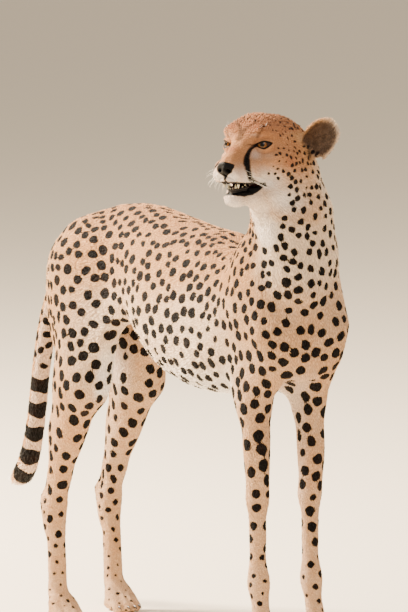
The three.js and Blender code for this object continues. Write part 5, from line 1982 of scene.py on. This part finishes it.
@dataclass
class FinePieces:
    """Teeth, tongue and claws, drawn finer over their plain solids."""

    places: Places
    lower_gum_mm: float = 2.6
    gum_inwards: float = 0.26
    gum_back_mm: float = 8.0
    furrow_mm: float = 1.6

    def finer(self, node: str, cuts: int, steps: int) -> bpy.types.Object:
        """Copies a solid, divides it and rounds it.

        Args:
            node: the solid's name.
            cuts: how often it is divided.
            steps: the rounds of smoothing.

        Returns:
            The finer piece.
        """
        obj = copy_of(node, node + "_fine")
        with editing(obj):
            bpy.ops.mesh.remove_doubles(threshold=WELD)
            bpy.ops.mesh.subdivide(number_cuts=cuts)
        put_points(obj, relax(points(obj), edges(obj), 1.0, steps))
        obj.data.materials.clear()
        obj.data.shade_smooth()
        return obj

    def teeth(self) -> list[bpy.types.Object]:
        """Makes both rows of teeth.

        Returns:
            The upper and the lower row, each with its gum below the crowns.
        """
        rows = []
        for node, out in (("upper_teeth", -1.0), ("lower_teeth", 1.0)):
            obj = self.finer(node, 2, 3)
            q = self.places.to_head(points(obj))
            upper, lower = self.places.lips(q[:, 0])
            base = upper - 1.0 if out < 0 else lower + self.lower_gum_mm
            add_attribute(obj, "share", np.clip((q[:, 2] - base) * out / 3.0 + 0.35, 0, 1))
            if out > 0:
                sunk = smooth(1.5, -1.5, q[:, 2] - lower)
                q[:, 1] *= 1.0 - self.gum_inwards * sunk
                q[:, 0] -= self.gum_back_mm * sunk * smooth(84.0, 110.0, q[:, 0])
                put_points(obj, self.places.from_head(q))
            rows.append(obj)
        return rows

    def tongue(self) -> bpy.types.Object:
        """Makes the tongue.

        Returns:
            The tongue, with a furrow along its middle.
        """
        obj = self.finer("tongue", 2, 4)
        q = self.places.to_head(points(obj))
        top = smooth(-60.0, -57.0, q[:, 2])
        q[:, 2] -= self.furrow_mm * np.exp(-((q[:, 1] / 2.2) ** 2)) * top
        put_points(obj, self.places.from_head(q))
        return obj

    def claws(self) -> list[bpy.types.Object]:
        """Makes the sixteen claws.

        Returns:
            The claws, with the share of their length stored on them.
        """
        made = []
        for node in sorted(n for n in frame["nodes"] if n.startswith("claw_")):
            obj = self.finer(node, 2, 2)
            x = points(obj)[:, 0]
            add_attribute(obj, "share", (x - x.min()) / (x.max() - x.min()))
            made.append(obj)
        return made


@dataclass
class Whiskers:
    """Stiff white hairs on the pads of the lip and over the eyes."""

    places: Places
    skin: Skin
    rows: tuple[tuple[float, float, int], ...] = ((-32, 116, 5), (-37, 118, 6), (-42.5, 117, 5))
    over_eye: int = 3
    length_mm: float = 42.0
    thick_mm: float = 0.36
    tip_mm: float = 0.04
    droop: float = 0.16
    sweep: float = 0.22
    stations: int = 8
    sides: int = 5
    seed: int = 3

    def build(self) -> bpy.types.Object:
        """Makes all the whiskers.

        Returns:
            One piece that holds them all.
        """
        chance = np.random.default_rng(self.seed)
        tree = BVHTree.FromObject(self.skin.obj, bpy.context.evaluated_depsgraph_get())
        hairs = []
        for root, way, length in self._plan(chance):
            found = tree.find_nearest(Vector(self.places.from_head(root)))[0]
            hairs.append(self._hair(np.array(found), self.places.head_way(way), length))
        one = self._hair_faces()
        faces = [one + self.stations * self.sides * i for i in range(len(hairs))]
        obj = mesh_from("whiskers", np.concatenate(hairs), np.concatenate(faces))
        with editing(obj):
            bpy.ops.mesh.normals_make_consistent(inside=False)
        obj.data.shade_smooth()
        return obj

    def _hair(self, start: Array, way: Array, length: float) -> Array:
        """Gives the points of one whisker, which droops and bends back.

        Args:
            start: its root on the skin.
            way: its direction there.
            length: its length in millimetres.

        Returns:
            Its rings of points, from the root to the tip.
        """
        side = unit(np.cross(way, [0.0, 0.0, 1.0]))
        other = np.cross(side, way)
        turn = np.arange(self.sides) * 2 * math.pi / self.sides
        ring = np.cos(turn)[:, None] * side + np.sin(turn)[:, None] * other
        back = self.places.head_way((-1, 0, 0))
        line = []
        for t in np.arange(self.stations) / (self.stations - 1):
            middle = start + way * (length * t - 1.0) * MM
            middle = middle - np.array([0, 0, 1]) * (self.droop * length * t * t) * MM
            middle = middle + back * (self.sweep * length * t * t) * MM
            line.append(middle + (self.thick_mm * (1.0 - t) ** 0.8 / 2 + self.tip_mm) * MM * ring)
        return np.concatenate(line)

    def _hair_faces(self) -> Array:
        """Lists the triangles of one whisker.

        Returns:
            Its wall and its two ends, as threes of vertex numbers.
        """
        faces = []
        count = self.sides
        for i in range(self.stations - 1):
            for k in range(count):
                a, b = i * count + k, i * count + (k + 1) % count
                faces += [(a, b, b + count), (a, b + count, a + count)]
        last = (self.stations - 1) * count
        for k in range(1, count - 1):
            faces += [(0, k + 1, k), (last, last + k, last + k + 1)]
        return np.array(faces)

    def _plan(self, chance: np.random.Generator) -> list[tuple[Array, Array, float]]:
        """Places the whiskers, in the head's frame.

        Args:
            chance: the source of randomness.

        Returns:
            Each whisker's root, direction and length in millimetres.
        """
        plan = []
        for s in SIDES.values():
            for height, front, count in self.rows:
                for i in range(count):
                    root = np.array([front - 6.5 * i + 4, s * (26.0 + 1.2 * i), height - 0.5 * i])
                    way = np.array([-0.15 - 0.16 * i, s, -0.18 - 0.05 * i])
                    way = unit(way + chance.normal(0, 0.08, 3))
                    uneven = 0.85 + 0.3 * chance.random()
                    plan.append((root, way, self.length_mm * (0.6 + 0.13 * i) * uneven))
            for i in range(self.over_eye):
                root = np.array([84.0 - 4 * i, s * (28.0 + 2 * i), 40.0])
                way = unit(np.array([-0.2, s * 0.5, 1.0]) + chance.normal(0, 0.15, 3))
                plan.append((root, way, 9.0 + 4 * chance.random()))
        return plan


@dataclass(frozen=True)
class WhiskerPaint:
    """Smooth white hair."""

    shade: str = "f4efe4"
    dull: str = "c9bfae"

    def material(self) -> bpy.types.Material:
        """Makes the finish."""
        paint = Paint("whisker_hair")
        shade = paint.mix(paint.noise(90.0) * 0.4, self.shade, self.dull)
        paint.dress(Base_Color=shade, Roughness=0.35)
        return paint.material


# ---------- the studio
@dataclass(frozen=True)
class Lamp:
    """One soft square lamp, placed from the animal's middle as the camera sees it, in metres."""

    name: str
    to_right: float
    up: float
    nearer: float
    size: float
    watts: float
    tint: str


LAMPS = (
    Lamp("sun", -3.3, 2.8, -1.3, 1.2, 1700.0, "ffefd8"),
    Lamp("fill", 1.2, 3.0, 4.0, 2.6, 95.0, "f6efee"),
    Lamp("edge", 3.0, 2.4, -2.0, 1.4, 90.0, "fff6ea"),
)


@dataclass(frozen=True)
class Studio:
    """The plain floor, the soft lights and the camera.

    The view is a height in metres, and its middle lies so far to the right of the animal's own
    origin and so far above it.
    """

    azimuth: float = 58.0
    elevation: float = 6.5
    distance: float = 15.0
    view_height: float = 1.122936
    view_right: float = 0.014679
    view_up: float = 0.616147
    film_mm: float = 24.0
    aim: Triple = (0.1, 0.0, 0.55)
    sky: str = "f4e8d6"
    sky_strength: float = 0.82
    floor_width: float = 60.0

    def _axes(self) -> tuple[Vector, Vector, Vector]:
        """Gives the camera's right, up and back directions."""
        a, e = math.radians(self.azimuth), math.radians(self.elevation)
        right = Vector((math.cos(a), math.sin(a), 0.0))
        back = Vector((math.sin(a) * math.cos(e), -math.cos(a) * math.cos(e), math.sin(e)))
        return right, back.cross(right), back

    def camera(self, origin: Vector) -> None:
        """Puts the camera where it sees the animal from its chest's left.

        Args:
            origin: the origin of the trunk's own frame.
        """
        right, up, back = self._axes()
        target = origin + right * self.view_right + up * self.view_up
        data = bpy.data.cameras.new("camera")
        data.sensor_fit = "VERTICAL"
        data.sensor_height = self.film_mm
        data.lens = self.film_mm * self.distance / self.view_height
        data.clip_end = self.floor_width
        obj = bpy.data.objects.new("camera", data)
        turn = Matrix((right, up, back)).transposed().to_4x4()
        obj.matrix_world = Matrix.Translation(target + back * self.distance) @ turn
        bpy.context.scene.collection.objects.link(obj)
        bpy.context.scene.camera = obj

    def _lamp(self, lamp: Lamp) -> None:
        """Adds one lamp that points to the animal's middle.

        Args:
            lamp: its place, size, power and colour.
        """
        right, _, back = self._axes()
        aim, rise = Vector(self.aim), Vector((0.0, 0.0, 1.0))
        flat = Vector((back.x, back.y, 0.0)).normalized()
        data = bpy.data.lights.new(lamp.name, "AREA")
        data.shape = "SQUARE"
        data.size = lamp.size
        data.energy = lamp.watts
        data.color = colour(lamp.tint)[:3]
        obj = bpy.data.objects.new(lamp.name, data)
        obj.location = aim + right * lamp.to_right + rise * lamp.up + flat * lamp.nearer
        obj.rotation_euler = (aim - obj.location).to_track_quat("-Z", "Y").to_euler()
        bpy.context.scene.collection.objects.link(obj)

    def lights(self) -> None:
        """Lights the animal from behind its right side, with a soft fill from the camera."""
        for lamp in LAMPS:
            self._lamp(lamp)
        world = bpy.data.worlds.new("air")
        world.use_nodes = True
        sky = world.node_tree.nodes["Background"]
        sky.inputs["Color"].default_value = colour(self.sky)
        sky.inputs["Strength"].default_value = self.sky_strength
        bpy.context.scene.world = world

    def floor(self) -> None:
        """Lays a wide pale floor under the animal."""
        bpy.ops.object.select_all(action="DESELECT")
        bpy.ops.mesh.primitive_plane_add(size=self.floor_width, location=(0.0, 0.0, 0.0))
        floor = bpy.context.object
        floor.name = floor.data.name = "floor"
        floor.data.materials.append(FloorPaint().material())


@dataclass(frozen=True)
class FloorPaint:
    """The floor's plain pale paint."""

    shade: str = "ecdfca"

    def material(self) -> bpy.types.Material:
        """Makes the paint."""
        material = bpy.data.materials.new("floor_paint")
        material.use_nodes = True
        shader = material.node_tree.nodes["Principled BSDF"]
        shader.inputs["Base Color"].default_value = colour(self.shade)
        shader.inputs["Roughness"].default_value = 0.8
        return material


def add_small_pieces(places: Places, skin: Skin) -> None:
    """Adds the eyes, teeth, tongue, claws and whiskers.

    Args:
        places: where things are on the animal.
        skin: the finished skin.
    """
    glass = EyePaint().material()
    for eye, side in zip(Eyes(skin).build(), SIDES):
        eye.data.materials.append(glass)
        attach(eye, "root")
        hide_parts(f"eye_{side}")
    fine = FinePieces(places)
    enamel = HornPaint("tooth_enamel", "120a0a", "dccfae", 0.26).material()
    for row in fine.teeth():
        row.data.materials.append(enamel)
        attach(row, "root")
        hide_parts(row.name.removesuffix("_fine"))
    tongue = fine.tongue()
    tongue.data.materials.append(TonguePaint().material())
    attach(tongue, "root")
    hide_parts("tongue")
    horn = HornPaint("claw_horn", "6b5548", "17120f", 0.3).material()
    for claw in fine.claws():
        claw.data.materials.append(horn)
        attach(claw, "root")
        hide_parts(claw.name.removesuffix("_fine"))
    whiskers = Whiskers(places, skin).build()
    whiskers.data.materials.append(WhiskerPaint().material())
    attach(whiskers, "root")
    log.info("eyes, teeth, tongue, claws and whiskers added")


def main() -> None:
    """Builds the animal and the studio round it."""
    logging.basicConfig(level=logging.INFO, format="%(message)s")
    places = Places()
    skin = Skin(places)
    body = skin.build()
    marks = Markings(places, skin)
    co, n = points(body), normals(body)
    marks.plan(co, n, skin.shares())
    for name, values in marks.fields(co, n).items():
        add_attribute(body, name, values)
    fur = FurPaint()
    body.data.materials.append(fur.skin())
    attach(body, "root")
    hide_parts(*skin.flesh)
    tufts = fur.tufts()
    for piece in Coat(places, skin, marks).build():
        piece.data.materials.append(tufts)
        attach(piece, "root")
    add_small_pieces(places, skin)
    studio = Studio()
    studio.camera(Vector(places.shift))
    studio.lights()
    studio.floor()


if __name__ == "__main__":
    main()
